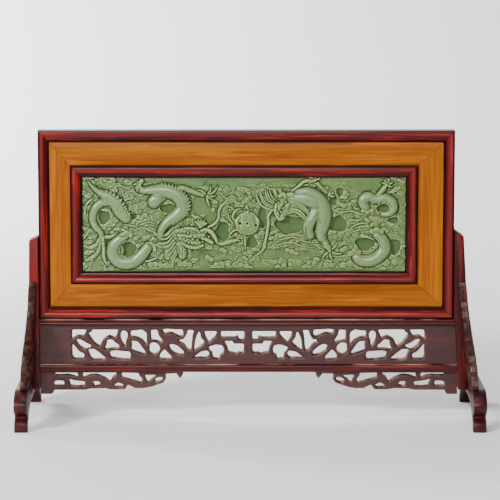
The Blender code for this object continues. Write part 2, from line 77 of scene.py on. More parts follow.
@dataclass(frozen=True)
class Tree:
    """A node tree with short ways to add the nodes that the finishes repeat."""

    nodes: bpy.types.NodeTree

    def add(self, kind: str, inputs: Mapping[str | int, object] | None = None,
            **settings: object) -> bpy.types.Node:
        """Add a node.

        Args:
            kind: node type name.
            inputs: a constant, or the socket that feeds it, for each input by name or number.
            settings: plain properties of the node, by name.

        Returns:
            The new node.
        """
        node = self.nodes.nodes.new(kind)
        for key, value in settings.items():
            setattr(node, key, value)
        self.feed(node, inputs or {})
        return node

    def feed(self, node: bpy.types.Node, inputs: Mapping[str | int, object]) -> None:
        """Set a node's inputs, each from a constant or from the socket that feeds it."""
        for key, value in inputs.items():
            if isinstance(value, Socket):
                self.nodes.links.new(value, node.inputs[key])
            else:
                node.inputs[key].default_value = value

    def sockets(self, kind: str, names: Iterable[str], way: str = "INPUT") -> None:
        """Give the tree named inputs or outputs of one kind."""
        for name in names:
            self.nodes.interface.new_socket(name, in_out=way, socket_type=f"NodeSocket{kind}")

    def noise(self, place: Socket, scale: float | Socket, detail: float = 2.0, **more: float) -> Socket:
        """Add a noise texture; further inputs, such as Roughness, go by name."""
        inputs = {"Vector": place, "Scale": scale, "Detail": detail, **more}
        return self.add("ShaderNodeTexNoise", inputs).outputs[0]

    def maths(self, operation: str, *values: float | Socket, **settings: bool) -> Socket:
        """Add a step of arithmetic."""
        return self.add("ShaderNodeMath", dict(enumerate(values)), operation=operation, **settings).outputs[0]

    def ranged(self, value: Socket, source: Point = (0.0, 1.0), target: Point = (0.0, 1.0),
               kind: str = "LINEAR", clamp: bool = True) -> Socket:
        """Map one range of values to another."""
        names = ("From Min", "From Max", "To Min", "To Max")
        return self.add("ShaderNodeMapRange", {"Value": value, **dict(zip(names, source + target))},
                        interpolation_type=kind, clamp=clamp).outputs[0]

    def mixed(self, share: float | Socket, first: Socket, second: Socket | Colour,
              blend: str = "MIX") -> Socket:
        """Lay one colour over another."""
        over = second if isinstance(second, Socket) else (*second, 1.0)
        return self.add("ShaderNodeMix", {"Factor": share, "A": first, "B": over}, data_type="RGBA",
                        blend_type=blend).outputs["Result"]

    def ramp(self, value: Socket, *stops: tuple[float, Colour | float]) -> Socket:
        """Turn a value into colours or, where a stop holds one number, greys.

        Args:
            value: what is read.
            stops: (place, colour) rows, in order.

        Returns:
            The colour.
        """
        node = self.add("ShaderNodeValToRGB", {0: value})
        elements = node.color_ramp.elements
        while len(elements) < len(stops):
            elements.new(0.5)
        for element, (place, colour) in zip(elements, stops):
            element.position = place
            element.color = (*(colour if isinstance(colour, tuple) else (colour,) * 3), 1.0)
        return node.outputs[0]

    def stored(self, name: str) -> Socket:
        """Read a value that the mesh stores."""
        return self.add("ShaderNodeAttribute", attribute_name=name).outputs["Fac"]

    def place(self) -> Socket:
        """Read the point's own place."""
        return self.add("ShaderNodeTexCoord").outputs["Object"]


def new_material(name: str) -> tuple[bpy.types.Material, Tree, bpy.types.Node]:
    """Make a node material and return it with its tree and its Principled shader."""
    made = bpy.data.materials.new(name)
    made.use_nodes = True
    return made, Tree(made.node_tree), made.node_tree.nodes["Principled BSDF"]


def fibre_group() -> bpy.types.NodeTree:
    """Build the node group that turns a position into wood fibres.

    Returns:
        A group with the inputs Position, Fibre Scale, Figure Scale and Streak Scale, and the outputs
        Fibre, Figure, Pores and Streak.
    """
    tree = Tree(bpy.data.node_groups.new("wood_fibre", "ShaderNodeTree"))
    tree.sockets("Vector", ("Position",))
    tree.sockets("Float", ("Fibre Scale", "Figure Scale", "Streak Scale"))
    tree.sockets("Float", ("Fibre", "Figure", "Pores", "Streak"), "OUTPUT")
    given = tree.add("NodeGroupInput").outputs
    drawn_out = tree.add("ShaderNodeVectorMath", {0: given["Position"], 1: (0.022, 1.0, 1.0)},
                         operation="MULTIPLY").outputs[0]
    pores = tree.noise(drawn_out, tree.maths("MULTIPLY", given["Fibre Scale"], 2.3), 1.0)
    shifted = tree.add("ShaderNodeVectorMath", {0: drawn_out, 1: (2.4, 1.0, 1.0), 2: (0.37, 0.11, 0.73)},
                       operation="MULTIPLY_ADD").outputs[0]
    streak = tree.noise(shifted, given["Streak Scale"], 2.5, Roughness=0.65)
    tree.add("NodeGroupOutput", {
        "Fibre": tree.noise(drawn_out, given["Fibre Scale"], 4.0, Roughness=0.6),
        "Figure": tree.noise(drawn_out, given["Figure Scale"], 3.0, Distortion=0.6),
        "Pores": tree.ranged(pores, (0.60, 0.72)),
        "Streak": tree.ranged(streak, (0.50, 0.70), kind="SMOOTHSTEP")})
    return tree.nodes


@dataclass(frozen=True)
class WoodFinish:
    """A varnished wood: its colours, gloss, the scale of its figure and the light and shade painted on it."""

    name: str
    slot: str
    dark: Colour
    middle: Colour
    light: Colour
    roughness: Point
    coat: float
    coat_roughness: float
    fibre_scale: float = 900.0
    figure_scale: float = 60.0
    bump: float = 0.12
    specular: float = 0.5
    streak: Colour | None = None
    streak_scale: float = 260.0
    # Painted light: a highlight along a moulding's crest, light on the upper left of a piece, and pale
    # highlights with shade along the edges, in patches of the given scale.
    crest: Colour | None = None
    upper: Colour | None = None
    worn: Colour | None = None
    highlight_patch_scale: float = 160.0

    def build(self, fibres: bpy.types.NodeTree, grain: Grain) -> bpy.types.Material:
        """Make the material for pieces whose fibres run one way.

        Args:
            fibres: the shared wood fibre group.
            grain: direction of the fibres.

        Returns:
            The finished material.
        """
        made, tree, shader = new_material(f"{self.name}_{grain.name.lower()}")
        place = tree.place()
        rotation = tuple(math.radians(degrees) for degrees in grain.value)
        turned = tree.add("ShaderNodeMapping", {"Vector": place, "Rotation": rotation}).outputs[0]
        given = tree.add("ShaderNodeGroup", {
            "Position": turned, "Fibre Scale": self.fibre_scale, "Figure Scale": self.figure_scale,
            "Streak Scale": self.streak_scale}, node_tree=fibres).outputs
        blend = tree.add("ShaderNodeMix", {"Factor": 0.42, "A": given["Figure"], "B": given["Fibre"]},
                         data_type="FLOAT").outputs["Result"]
        colour = tree.ramp(blend, (0.34, self.dark), (0.50, self.middle), (0.66, self.light))
        pore = tuple(0.45 * value for value in self.dark)
        colour = tree.mixed(tree.maths("MULTIPLY", given["Pores"], 0.35), colour, pore)
        if self.streak is not None:
            colour = tree.mixed(given["Streak"], colour, self.streak)
        # Painted shade at a moulding's edges and a painted highlight on its crest.
        if self.crest is not None:
            colour = self.shade_profile(tree, colour, given["Figure"])
        # Painted light on the upper left.
        if self.upper is not None:
            colour = self.redden_top(tree, colour, place, given["Fibre"])
        # Painted shade and pale highlights along the edges.
        if self.worn is not None:
            colour = self.rub_edges(tree, colour, place)
        bump = tree.add("ShaderNodeBump", {"Strength": self.bump, "Distance": 0.0003, "Height": blend})
        tree.feed(shader, {
            "Base Color": colour, "Roughness": tree.ranged(given["Fibre"], target=self.roughness),
            "Specular IOR Level": self.specular, "Coat Weight": self.coat,
            "Coat Roughness": self.coat_roughness, "Normal": bump.outputs[0]})
        return made

    def shade_profile(self, tree: Tree, colour: Socket, figure: Socket) -> Socket:
        """Paint shade on both edges of a moulding and a brownish highlight along its crest.

        Args:
            tree: the material's tree.
            colour: the wood's colour so far.
            figure: the wood's figure.

        Returns:
            The new colour.
        """
        across = tree.stored("across")
        # Painted shade: dark at both edges of the section and in a line beside its inner edge.
        shaded = tree.ramp(across, (0.0, 0.03), (0.10, (0.22, 0.20, 0.22)), (0.28, 1.0), (0.62, 0.95),
                           (0.84, (0.42, 0.38, 0.38)), (0.92, (0.16, 0.15, 0.15)), (1.0, 0.03))
        # Painted highlight along the crest, broken up by the wood's figure.
        ridge_highlight = tree.ramp(across, (0.14, 0.0), (0.34, 0.55), (0.48, 0.45), (0.66, 0.0))
        lowered = tree.mixed(1.0, colour, shaded, "MULTIPLY")
        return tree.mixed(tree.maths("MULTIPLY", ridge_highlight, figure), lowered, self.crest)

    def redden_top(self, tree: Tree, colour: Socket, place: Socket, fibre: Socket) -> Socket:
        """Paint light on the upper half as a brighter red, more towards the left.

        Args:
            tree: the material's tree.
            colour: the wood's colour so far.
            place: the point's place.
            fibre: the wood's fibres.

        Returns:
            The new colour.
        """
        split = tree.add("ShaderNodeSeparateXYZ", {0: place}).outputs
        rise = tree.ranged(split["Z"], (0.10, 0.19), (0.0, 0.85), "SMOOTHSTEP")
        leftward = tree.ranged(split["X"], (0.2, -0.2), (0.05, 1.0))
        # Painted light on the upper left.
        lit_top = tree.mixed(tree.maths("MULTIPLY", rise, leftward), colour, self.upper)
        return tree.mixed(0.6, lit_top, fibre, "OVERLAY")

    def rub_edges(self, tree: Tree, colour: Socket, place: Socket) -> Socket:
        """Paint shade along the carved edges and paint pale highlights on them in patches.

        Args:
            tree: the material's tree.
            colour: the wood's colour so far.
            place: the point's place.

        Returns:
            The new colour.
        """
        # Painted shade along the rounded edges, then painted pale highlights on them in patches.
        edge = tree.stored("worn_edge")
        patch = tree.ranged(tree.noise(place, self.highlight_patch_scale, 3.0), (0.42, 0.66))
        edge_shade = tree.ramp(edge, (0.06, 1.0), (0.40, (0.34, 0.30, 0.30)), (0.80, (0.45, 0.40, 0.38)),
                          (1.0, (0.95, 0.90, 0.86)))
        edge_shaded = tree.mixed(1.0, colour, edge_shade, "MULTIPLY")
        return tree.mixed(tree.maths("MULTIPLY", edge, patch), edge_shaded, self.worn)


@dataclass(frozen=True)
class StoneFinish:
    """A softly polished green serpentine, with painted shade in its hollows and pockets, painted highlights
    on its ridges, painted glints and a paler painted sheen on its polished figures.
    """

    # Painted light: the hollow and ridge colours paint shade and highlights; the three colours after olive
    # paint a sheen on polished figures, shade on pocket floors and glints.
    hollow: Colour = (0.013, 0.032, 0.009)
    body: Colour = (0.083, 0.154, 0.045)
    ridge_highlight: Colour = (0.36, 0.47, 0.21)
    olive: Colour = (0.132, 0.172, 0.040)
    polish_sheen: Colour = (0.132, 0.205, 0.074)
    pocket_shade: Colour = (0.082, 0.136, 0.056)
    glint_highlight: Colour = (0.60, 0.70, 0.50)
    roughness: Point = (0.46, 0.33)
    specular: Point = (0.27, 0.85)

    def build(self) -> bpy.types.Material:
        """Make the stone material.

        Returns:
            The finished material.
        """
        made, tree, shader = new_material("serpentine")
        place, carving, polish = tree.place(), tree.stored("carving"), tree.stored("polish")
        across = tree.add("ShaderNodeSeparateXYZ", {0: place}).outputs["X"]
        speck = tree.noise(place, 520.0, 3.0)
        # Painted shade in the hollows and painted highlights on the ridges.
        colour = tree.ramp(carving, (0.0, self.hollow), (0.5, self.body), (1.0, self.ridge_highlight))
        mottle = tree.ranged(tree.noise(place, 42.0, 5.0, Roughness=0.62), (0.40, 0.72), (0.0, 0.75))
        drift = tree.ranged(across, (-0.20, 0.20), (0.35, 1.15))
        colour = tree.mixed(tree.maths("MULTIPLY", mottle, drift, use_clamp=True), colour, self.olive)
        # Paler painted sheen on the polished figures.
        colour = tree.mixed(tree.maths("MULTIPLY", polish, 0.50), colour, self.polish_sheen)
        # Painted glints.
        colour = tree.mixed(self.painted_glints(tree, place, across, carving, polish), colour, self.glint_highlight)
        colour = tree.mixed(0.55, colour, speck, "SOFT_LIGHT")
        # Painted shade on the pocket floors.
        colour = tree.mixed(tree.maths("MULTIPLY", tree.stored("sunk"), 0.68), colour, self.pocket_shade)
        bump = tree.add("ShaderNodeBump", {"Strength": 0.22, "Distance": 0.0005, "Height": speck})
        tree.feed(shader, {
            "Base Color": colour, "Roughness": tree.ranged(polish, target=self.roughness, clamp=False),
            "Specular IOR Level": tree.ranged(polish, target=self.specular, clamp=False),
            "Subsurface Weight": 0.04, "Subsurface Radius": (0.0008, 0.0012, 0.0007),
            "Subsurface Scale": 1.0, "Normal": bump.outputs[0]})
        return made

    def painted_glints(self, tree: Tree, place: Socket, across: Socket, carving: Socket, polish: Socket) -> Socket:
        """Find where glints are painted: raised, unpolished points, most of them towards the left.

        Args:
            tree: the material's tree.
            place: the point's place.
            across: its X.
            carving: how raised it is.
            polish: how polished it is.

        Returns:
            The mask.
        """
        masks = (tree.ranged(tree.noise(place, 420.0), (0.54, 0.68), kind="SMOOTHSTEP"),
                 tree.ranged(carving, (0.44, 0.62), kind="SMOOTHSTEP"),
                 tree.ranged(across, (-0.06, -0.19), (0.22, 0.85), "SMOOTHSTEP"),
                 tree.ranged(polish, target=(1.0, 0.12)))
        product = masks[0]
        for mask in masks[1:]:
            product = tree.maths("MULTIPLY", product, mask)
        return product


class Wood(Enum):
    """The woods and lacquers of the frame and the stand."""

    # The rosewood's crest colour is a painted highlight.
    ROSEWOOD = WoodFinish("rosewood", "rosewood", (0.016, 0.0006, 0.0016), (0.074, 0.0018, 0.0032),
        (0.165, 0.0056, 0.0058), (0.24, 0.38), 0.07, 0.10, figure_scale=190.0,
        streak=(0.32, 0.013, 0.0070), specular=0.15, crest=(0.24, 0.046, 0.038))
    GOLDEN = WoodFinish("golden_wood", "pale_wood", (0.125, 0.029, 0.0003), (0.245, 0.062, 0.0004),
        (0.38, 0.114, 0.0005), (0.40, 0.54), 0.04, 0.25, 700.0, 60.0, 0.10, 0.12, (0.36, 0.105, 0.0008),
        200.0)
    # The stand lacquer's edge colour is a painted pale highlight on carved edges.
    STAND = WoodFinish("stand_lacquer", "stand_lacquer", (0.010, 0.0012, 0.0014),
        (0.027, 0.0027, 0.0029), (0.062, 0.0058, 0.0053), (0.34, 0.48), 0.05, 0.18, 800.0, 90.0, 0.14,
        0.20, (0.09, 0.007, 0.0055), 150.0, worn=(0.16, 0.070, 0.024))
    # The rail lacquer's edge colour paints the highlight line along the rails' top front edge.
    RAIL = WoodFinish("rail_lacquer", "stand_lacquer", (0.018, 0.0018, 0.0020), (0.052, 0.0040, 0.0042),
        (0.110, 0.0080, 0.0074), (0.32, 0.46), 0.08, 0.18, 800.0, 90.0, 0.14, 0.20,
        (0.14, 0.010, 0.0070), 150.0, worn=(0.70, 0.52, 0.36), highlight_patch_scale=22.0)
    # The apron lacquer's edge colour is a painted tan highlight on the strands' edges.
    APRON = WoodFinish("apron_lacquer", "stand_lacquer", (0.026, 0.0080, 0.0080),
        (0.048, 0.0115, 0.0110), (0.078, 0.0165, 0.0155), (0.40, 0.52), 0.10, 0.20, 800.0, 90.0, 0.14,
        0.36, worn=(0.36, 0.190, 0.080))
    # The post lacquer's upper colour is painted light on the posts' upper left.
    POST = WoodFinish("post_lacquer", "stand_lacquer", (0.014, 0.0014, 0.0016), (0.032, 0.0028, 0.0030),
        (0.070, 0.0058, 0.0054), (0.34, 0.48), 0.06, 0.16, 800.0, 90.0, 0.14, 0.18,
        (0.12, 0.009, 0.0070), 240.0, upper=(0.150, 0.0062, 0.0055))
    BACK = WoodFinish("plain_back", "board_wood", (0.050, 0.012, 0.007), (0.105, 0.028, 0.015),
        (0.16, 0.050, 0.024), (0.42, 0.60), 0.10, 0.30, 500.0, 30.0, 0.25)


@dataclass(frozen=True)
class Dress:
    """A finished material with the name of a slot, which nothing reads."""

    material: bpy.types.Material
    slot: str


@dataclass
class Finishes:
    """Every finish of the screen, each material made once, and the shared geometry tree."""

    length_tree: bpy.types.NodeTree = field(init=False)
    stone: Dress = field(init=False)
    fibres: bpy.types.NodeTree = field(init=False)
    made: dict[tuple[Wood, Grain], Dress] = field(init=False, default_factory=dict)

    def __post_init__(self) -> None:
        """Build the shared trees and the stone."""
        self.fibres = fibre_group()
        self.stone = Dress(StoneFinish().build(), "green_stone")
        self.length_tree = moulded_length_tree()

    def wood(self, wood: Wood, grain: Grain = Grain.ACROSS) -> Dress:
        """Give a wood whose fibres run one way, made at its first use.

        Args:
            wood: which wood or lacquer.
            grain: direction of the fibres.

        Returns:
            The finish with its slot.
        """
        if (wood, grain) not in self.made:
            self.made[wood, grain] = Dress(wood.value.build(self.fibres, grain), wood.value.slot)
        return self.made[wood, grain]


# ------------------------------------------------------------------------------------ mesh helpers


def place_object(name: str, data: bpy.types.ID) -> bpy.types.Object:
    """Put a mesh, lamp or camera in the scene."""
    made = bpy.data.objects.new(name, data)
    bpy.context.scene.collection.objects.link(made)
    return made


def make_piece(mesh: bpy.types.Mesh, dress: Dress, node: str, sharp_degrees: float, name: str = "") -> None:
    """Put a finished mesh in the scene as the piece that stands for a CAD node.

    Args:
        mesh: closed mesh in place, in metres.
        dress: its finish.
        node: the CAD node that it replaces.
        sharp_degrees: angle past which an edge stays sharp.
        name: the piece's name, where it isn't the node's with _piece after it.
    """
    mesh.materials.clear()
    mesh.materials.append(dress.material)
    mesh.shade_smooth()
    mesh.set_sharp_from_angle(angle=math.radians(sharp_degrees))
    piece = place_object(name or f"{node}_piece", mesh)
    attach(piece, BODY)
    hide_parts(node)
    LOG.info("%s: %d faces", piece.name, len(mesh.polygons))


def store(mesh: bpy.types.Mesh, name: str, values: Sequence[float]) -> None:
    """Store one value at each point for the finish to read."""
    data = np.asarray(values, dtype=np.float32)
    mesh.attributes.new(name, "FLOAT", "POINT").data.foreach_set("value", data)


def plain_mesh(name: str, points: Sequence[Sequence[float]],
               faces: Sequence[Sequence[int]]) -> bpy.types.Mesh:
    """Make a mesh from points and faces."""
    mesh = bpy.data.meshes.new(name)
    mesh.from_pydata(points, [], faces)
    return mesh


def mesh_from_bmesh(name: str, builder: bmesh.types.BMesh) -> bpy.types.Mesh:
    """Turn a closed bmesh into a mesh whose faces point outwards.

    Args:
        name: name of the mesh.
        builder: the bmesh, which is freed.

    Returns:
        The mesh.
    """
    bmesh.ops.recalc_face_normals(builder, faces=builder.faces)
    if builder.calc_volume(signed=True) < 0:
        bmesh.ops.reverse_faces(builder, faces=builder.faces)
    mesh = bpy.data.meshes.new(name)
    builder.to_mesh(mesh)
    builder.free()
    return mesh


def opened(mesh: bpy.types.Mesh) -> bmesh.types.BMesh:
    """Copy a mesh for editing."""
    builder = bmesh.new()
    builder.from_mesh(mesh)
    return builder


def lofted_mesh(name: str, rings: Sequence[Sequence[Sequence[float]]]) -> bpy.types.Mesh:
    """Join matching rings of points, end to end, into one closed mesh.

    Args:
        name: name of the mesh.
        rings: closed rings with the same number of points.

    Returns:
        The mesh.
    """
    builder = bmesh.new()
    lines = [[builder.verts.new(point) for point in ring] for ring in rings]
    builder.faces.new(lines[0])
    builder.faces.new(lines[-1])
    for first, second in zip(lines[:-1], lines[1:]):
        for index in range(len(first)):
            after = (index + 1) % len(first)
            builder.faces.new((first[index], first[after], second[after], second[index]))
    return mesh_from_bmesh(name, builder)


def modified_mesh(name: str, mesh: bpy.types.Mesh, kind: str, values: Mapping[str, object]) -> bpy.types.Mesh:
    """Run a mesh through one modifier and bake the result.

    Args:
        name: name of the new mesh.
        mesh: what goes in.
        kind: modifier type.
        values: its settings by name, and a tree's inputs by socket identifier.

    Returns:
        The plain mesh that comes out.
    """
    holder = place_object(f"{name}_blank", mesh)
    modifier = holder.modifiers.new("Work", kind)
    for key, value in values.items():
        if hasattr(modifier, key):
            setattr(modifier, key, value)
        else:
            modifier[key] = value
    baked = bpy.data.meshes.new_from_object(holder.evaluated_get(bpy.context.evaluated_depsgraph_get()))
    baked.name = name
    holder.modifiers.remove(modifier)
    bpy.data.objects.remove(holder, do_unlink=True)
    return baked


def bevelled_mesh(name: str, mesh: bpy.types.Mesh, width: float, segments: int = 3) -> bpy.types.Mesh:
    """Round every edge of a mesh that is sharper than thirty degrees."""
    return modified_mesh(name, mesh, "BEVEL", {"width": width, "segments": segments, "limit_method": "ANGLE",
                                               "angle_limit": math.radians(30.0)})


def moulded_length_tree() -> bpy.types.NodeTree:
    """Build the geometry tree that draws a flat section out into a length with slanted ends.

    Returns:
        A tree whose inputs are the section face, the place and slope of both ends, the level at
        which the ends are given, whether the length stands upright, and its material.
    """
    tree = Tree(bpy.data.node_groups.new("moulded_length", "GeometryNodeTree"))
    tree.sockets("Geometry", ("Section",))
    tree.sockets("Float", ("First End", "First Slope", "Last End", "Last Slope", "Level"))
    tree.sockets("Bool", ("Upright",))
    tree.sockets("Material", ("Material",))
    tree.sockets("Geometry", ("Length",), "OUTPUT")
    given = tree.add("NodeGroupInput").outputs
    forward = tree.add("ShaderNodeCombineXYZ", {"X": 1.0}).outputs[0]
    drawn = tree.add("GeometryNodeExtrudeMesh", {
        "Mesh": given["Section"], "Offset": forward, "Offset Scale": 1.0, "Individual": False},
        mode="FACES").outputs["Mesh"]
    turned = tree.add("GeometryNodeFlipFaces", {"Mesh": given["Section"]}).outputs[0]
    joined = tree.add("GeometryNodeJoinGeometry", {0: drawn})
    tree.nodes.links.new(turned, joined.inputs[0])
    welded = tree.add("GeometryNodeMergeByDistance", {"Geometry": joined.outputs[0], "Distance": 0.000005})
    split = tree.add("ShaderNodeSeparateXYZ", {0: tree.add("GeometryNodeInputPosition").outputs[0]}).outputs
    raised = tree.maths("SUBTRACT", split["Z"], given["Level"])
    ends = [tree.maths("MULTIPLY_ADD", raised, given[f"{name} Slope"], given[f"{name} End"])
            for name in ("First", "Last")]
    along = tree.add("ShaderNodeMix", {"Factor": split["X"], "A": ends[0], "B": ends[1]},
                     data_type="FLOAT").outputs[0]
    level, standing = (tree.add("ShaderNodeCombineXYZ", {"X": first, "Y": split["Y"], "Z": last}).outputs[0]
                       for first, last in ((along, split["Z"]), (split["Z"], along)))
    chosen = tree.add("GeometryNodeSwitch", {"Switch": given["Upright"], "False": level, "True": standing},
                      input_type="VECTOR").outputs[0]
    moved = tree.add("GeometryNodeSetPosition", {"Geometry": welded.outputs[0], "Position": chosen})
    real = tree.add("GeometryNodeRealizeInstances", {0: moved.outputs[0]})
    dressed = {"Geometry": real.outputs[0], "Material": given["Material"]}
    tree.add("NodeGroupOutput", {"Length": tree.add("GeometryNodeSetMaterial", dressed).outputs[0]})
    return tree.nodes


@dataclass
class MouldedLength:
    """A straight length of one section, its rows (Y, cross position), with both ends cut on a slant."""

    name: str
    section: Sequence[Point]
    ends: Point
    slopes: Point
    level: float
    upright: bool
    finish: bpy.types.Material

    def build(self, tree: bpy.types.NodeTree) -> bpy.types.Mesh:
        """Draw the section out between the two ends.

        Args:
            tree: the shared geometry tree.

        Returns:
            The closed mesh.
        """
        flat = plain_mesh(f"{self.name}_section", [(0.0, depth, cross) for depth, cross in self.section],
                          [tuple(range(len(self.section)))])
        values = {"First End": self.ends[0], "Last End": self.ends[1], "First Slope": self.slopes[0],
                  "Last Slope": self.slopes[1], "Level": self.level, "Upright": self.upright,
                  "Material": self.finish}
        inputs = {item.identifier: values[item.name] for item in tree.interface.items_tree
                  if item.name in values}
        baked = modified_mesh(f"{self.name}_drawn", flat, "NODES", {"node_group": tree, **inputs})
        builder = opened(baked)
        bpy.data.meshes.remove(baked)
        return mesh_from_bmesh(self.name, builder)


# ------------------------------------------------------------------------------------ flat outlines


def smooth_rows(points: Sequence[Sequence[float]], steps: int = 8) -> np.ndarray:
    """Sample a Catmull-Rom curve through rows of numbers.

    Args:
        points: rows that the curve passes.
        steps: samples for each row.

    Returns:
        One row for each sample.
    """
    rows = np.array([points[0], *points, points[-1]], dtype=float)
    samples = []
    for index in range(1, len(rows) - 2):
        before, start, end, after = rows[index - 1:index + 3]
        for step in range(steps):
            t = step / steps
            samples.append(0.5 * (2 * start + (end - before) * t
                                  + (2 * before - 5 * start + 4 * end - after) * t ** 2
                                  + (3 * start - before - 3 * end + after) * t ** 3))
    samples.append(rows[-2])
    return np.array(samples)


def rounded_ring(points: Ring, radius: float, spacing: float) -> np.ndarray:
    """Round the corners of a closed outline and space its points evenly.

    Args:
        points: the outline's corners, in millimetres.
        radius: reach of the rounding along each side.
        spacing: largest distance between two points.

    Returns:
        The new outline, one row for each point.
    """
    corners = np.array(points, dtype=float)
    curve = []
    for before, corner, after in zip(np.roll(corners, 1, axis=0), corners, np.roll(corners, -1, axis=0)):
        back, ahead = before - corner, after - corner
        reach = min(radius, 0.46 * np.linalg.norm(back), 0.46 * np.linalg.norm(ahead))
        start = corner + back / np.linalg.norm(back) * reach
        end = corner + ahead / np.linalg.norm(ahead) * reach
        for share in np.linspace(0.0, 1.0, 5):
            curve.append((1 - share) ** 2 * start + 2 * share * (1 - share) * corner + share ** 2 * end)
    kept: list[np.ndarray] = []
    for point, after in zip(curve, curve[1:] + curve[:1]):
        gap = np.linalg.norm(after - point)
        parts = max(1, math.ceil(gap / spacing)) if gap >= 1e-6 else 0
        for step in range(parts):
            made = point + (after - point) * step / parts
            if not kept or np.linalg.norm(made - kept[-1]) > 0.22 * spacing:
                kept.append(made)
    return np.array(kept)


def beside(across: np.ndarray, up: np.ndarray, start: np.ndarray, end: np.ndarray
           ) -> tuple[np.ndarray, np.ndarray]:
    """Where points lie beside a segment: the share of its length, and the distance from it.

    Args:
        across, up: places of the points.
        start, end: ends of the segment.

    Returns:
        The share along it and the distance, for each point.
    """
    run = end[:2] - start[:2]
    share = ((across - start[0]) * run[0] + (up - start[1]) * run[1]) / max(run @ run, 1e-9)
    share = np.clip(share, 0.0, 1.0)
    return share, np.hypot(across - start[0] - share * run[0], up - start[1] - share * run[1])


def line_distance(across: np.ndarray, up: np.ndarray, line: np.ndarray) -> np.ndarray:
    """Distance from each point to the nearest stretch of a line through rows of (across, up).

    Args:
        across, up: places of the points.
        line: rows of the line.

    Returns:
        The distances.
    """
    nearest = np.full_like(across, np.inf)
    for start, end in zip(line[:-1], line[1:]):
        nearest = np.minimum(nearest, beside(across, up, start, end)[1])
    return nearest


def ring_distance(points: np.ndarray, rings: Sequence[np.ndarray]) -> np.ndarray:
    """Distance from each point to the nearest side of any outline."""
    return np.min([line_distance(*points.T, np.concatenate([ring, ring[:1]])) for ring in rings], axis=0)


def within(points: np.ndarray, outline: np.ndarray, *openings: np.ndarray) -> np.ndarray:
    """Tell which points lie inside a closed outline and outside its openings.

    Args:
        points: rows of (across, up).
        outline: the outline's points.
        openings: points of each opening.

    Returns:
        True for each point that does.
    """
    inside = np.zeros(len(points), dtype=bool)
    x, y = points.T
    for ring in (outline, *openings):
        for start, end in zip(ring, np.roll(ring, -1, axis=0)):
            if start[1] != end[1]:
                crosses = (start[1] > y) != (end[1] > y)
                slope = (end[0] - start[0]) / (end[1] - start[1])
                inside ^= crosses & (x < start[0] + (y - start[1]) * slope)
    return inside


@dataclass
class CarvedPlate:
    """A pierced board whose strands are rounded over, drawn flat in millimetres."""

    outline: Ring
    openings: list[Ring]
    half_thickness: float
    place: Callable[[float, float, float], tuple[float, float, float]]
    round_reach: float = 2.4
    round_depth: float = 1.7
    opening_radius: float = 2.2
    # Strength of the painted shade and highlights along the carved edges.
    edge_light_strength: float = 1.0
    carved: Callable[[np.ndarray], np.ndarray] | None = None
    outline_radius: float = 0.8
    spacing: float = 1.15

    def build(self, node: str) -> bpy.types.Mesh:
        """Triangulate the board, round its strands and close it.

        Args:
            node: the CAD node it stands for.

        Returns:
            The closed mesh, with an attribute that places the painted edge shade and highlights.
        """
        rings = [rounded_ring(self.outline, self.outline_radius, self.spacing)]
        rings += [rounded_ring(ring, self.opening_radius, self.spacing) for ring in self.openings]
        corners, triangles = self.triangulate(rings)
        reach = ring_distance(corners, rings)
        share = 1.0 if self.carved is None else np.where(self.carved(corners), 1.0, 0.0)
        drop = share * self.round_depth * np.clip(1.0 - reach / self.round_reach, 0.0, 1.0) ** 2
        # How much painted shade and highlight each point near an edge gets.
        worn = share * self.edge_light_strength * np.clip(1.0 - reach / 1.5, 0.0, 1.0)
        front = [self.place(a, b, d - self.half_thickness) for (a, b), d in zip(corners, drop)]
        back = [self.place(a, b, self.half_thickness - 0.55 * d) for (a, b), d in zip(corners, drop)]
        count = len(corners)
        faces = triangles.tolist() + (triangles[:, ::-1] + count).tolist()
        ends = np.concatenate([triangles[:, pair] for pair in ([0, 1], [1, 2], [2, 0])]).tolist()
        seen = {(start, end) for start, end in ends}
        faces += [(end, start, count + start, count + end) for start, end in ends if (end, start) not in seen]
        loose = plain_mesh(f"{node}_loose", front + back, faces)
        mesh = mesh_from_bmesh(f"{node}_piece", opened(loose))
        bpy.data.meshes.remove(loose)
        store(mesh, "worn_edge", np.concatenate([worn, 0.3 * worn]))
        return mesh

    def triangulate(self, rings: Sequence[np.ndarray]) -> tuple[np.ndarray, np.ndarray]:
        """Fill the board between its outline and openings with even triangles.

        Args:
            rings: the outline, then the openings.

        Returns:
            The points that the triangles use, and rows of three point numbers.
        """
        low, high = rings[0].min(axis=0), rings[0].max(axis=0)
        step = self.spacing * 1.05
        columns = np.arange(low[0] + step, high[0], step)
        rows = np.arange(low[1] + step * 0.5, high[1], step * 0.87)
        filler = np.array([(a + (0.5 * step if index % 2 else 0.0), b)
                           for index, b in enumerate(rows) for a in columns])
        filler = filler[within(filler, *rings)]
        filler = filler[ring_distance(filler, rings) > 0.5 * self.spacing]
        edges = []
        first = 0
        for ring in rings:
            edges += [(first + i, first + (i + 1) % len(ring)) for i in range(len(ring))]
            first += len(ring)
        flat = delaunay_2d_cdt([Vector(p) for p in np.concatenate([*rings, filler])], edges, [], 1, 1e-6)
        corners = np.array([tuple(v) for v in flat[0]])
        triangles = np.array([face for face in flat[2] if len(face) == 3])
        triangles = triangles[within(corners[triangles].mean(axis=1), *rings)]
        used, numbered = np.unique(triangles, return_inverse=True)
        return corners[used], numbered.reshape(-1, 3)


# ------------------------------------------------------------------------------------ stone relief


def fade(distance: np.ndarray, width: float) -> np.ndarray:
    """Fall off from one in a bell curve, on both sides of nought."""
    return np.exp(-(distance / width) ** 2)


def rim_distance(lobes: Spine, across: np.ndarray, up: np.ndarray, stretch: float = 1.0) -> np.ndarray:
    """Distance outwards from the rim of round lobes that run together."""
    total = sum(np.exp(-1.6 * (np.hypot((across - x) / stretch, up - y) - radius)) for x, y, radius in lobes)
    return -np.log(np.maximum(total, 1e-9)) / 1.6


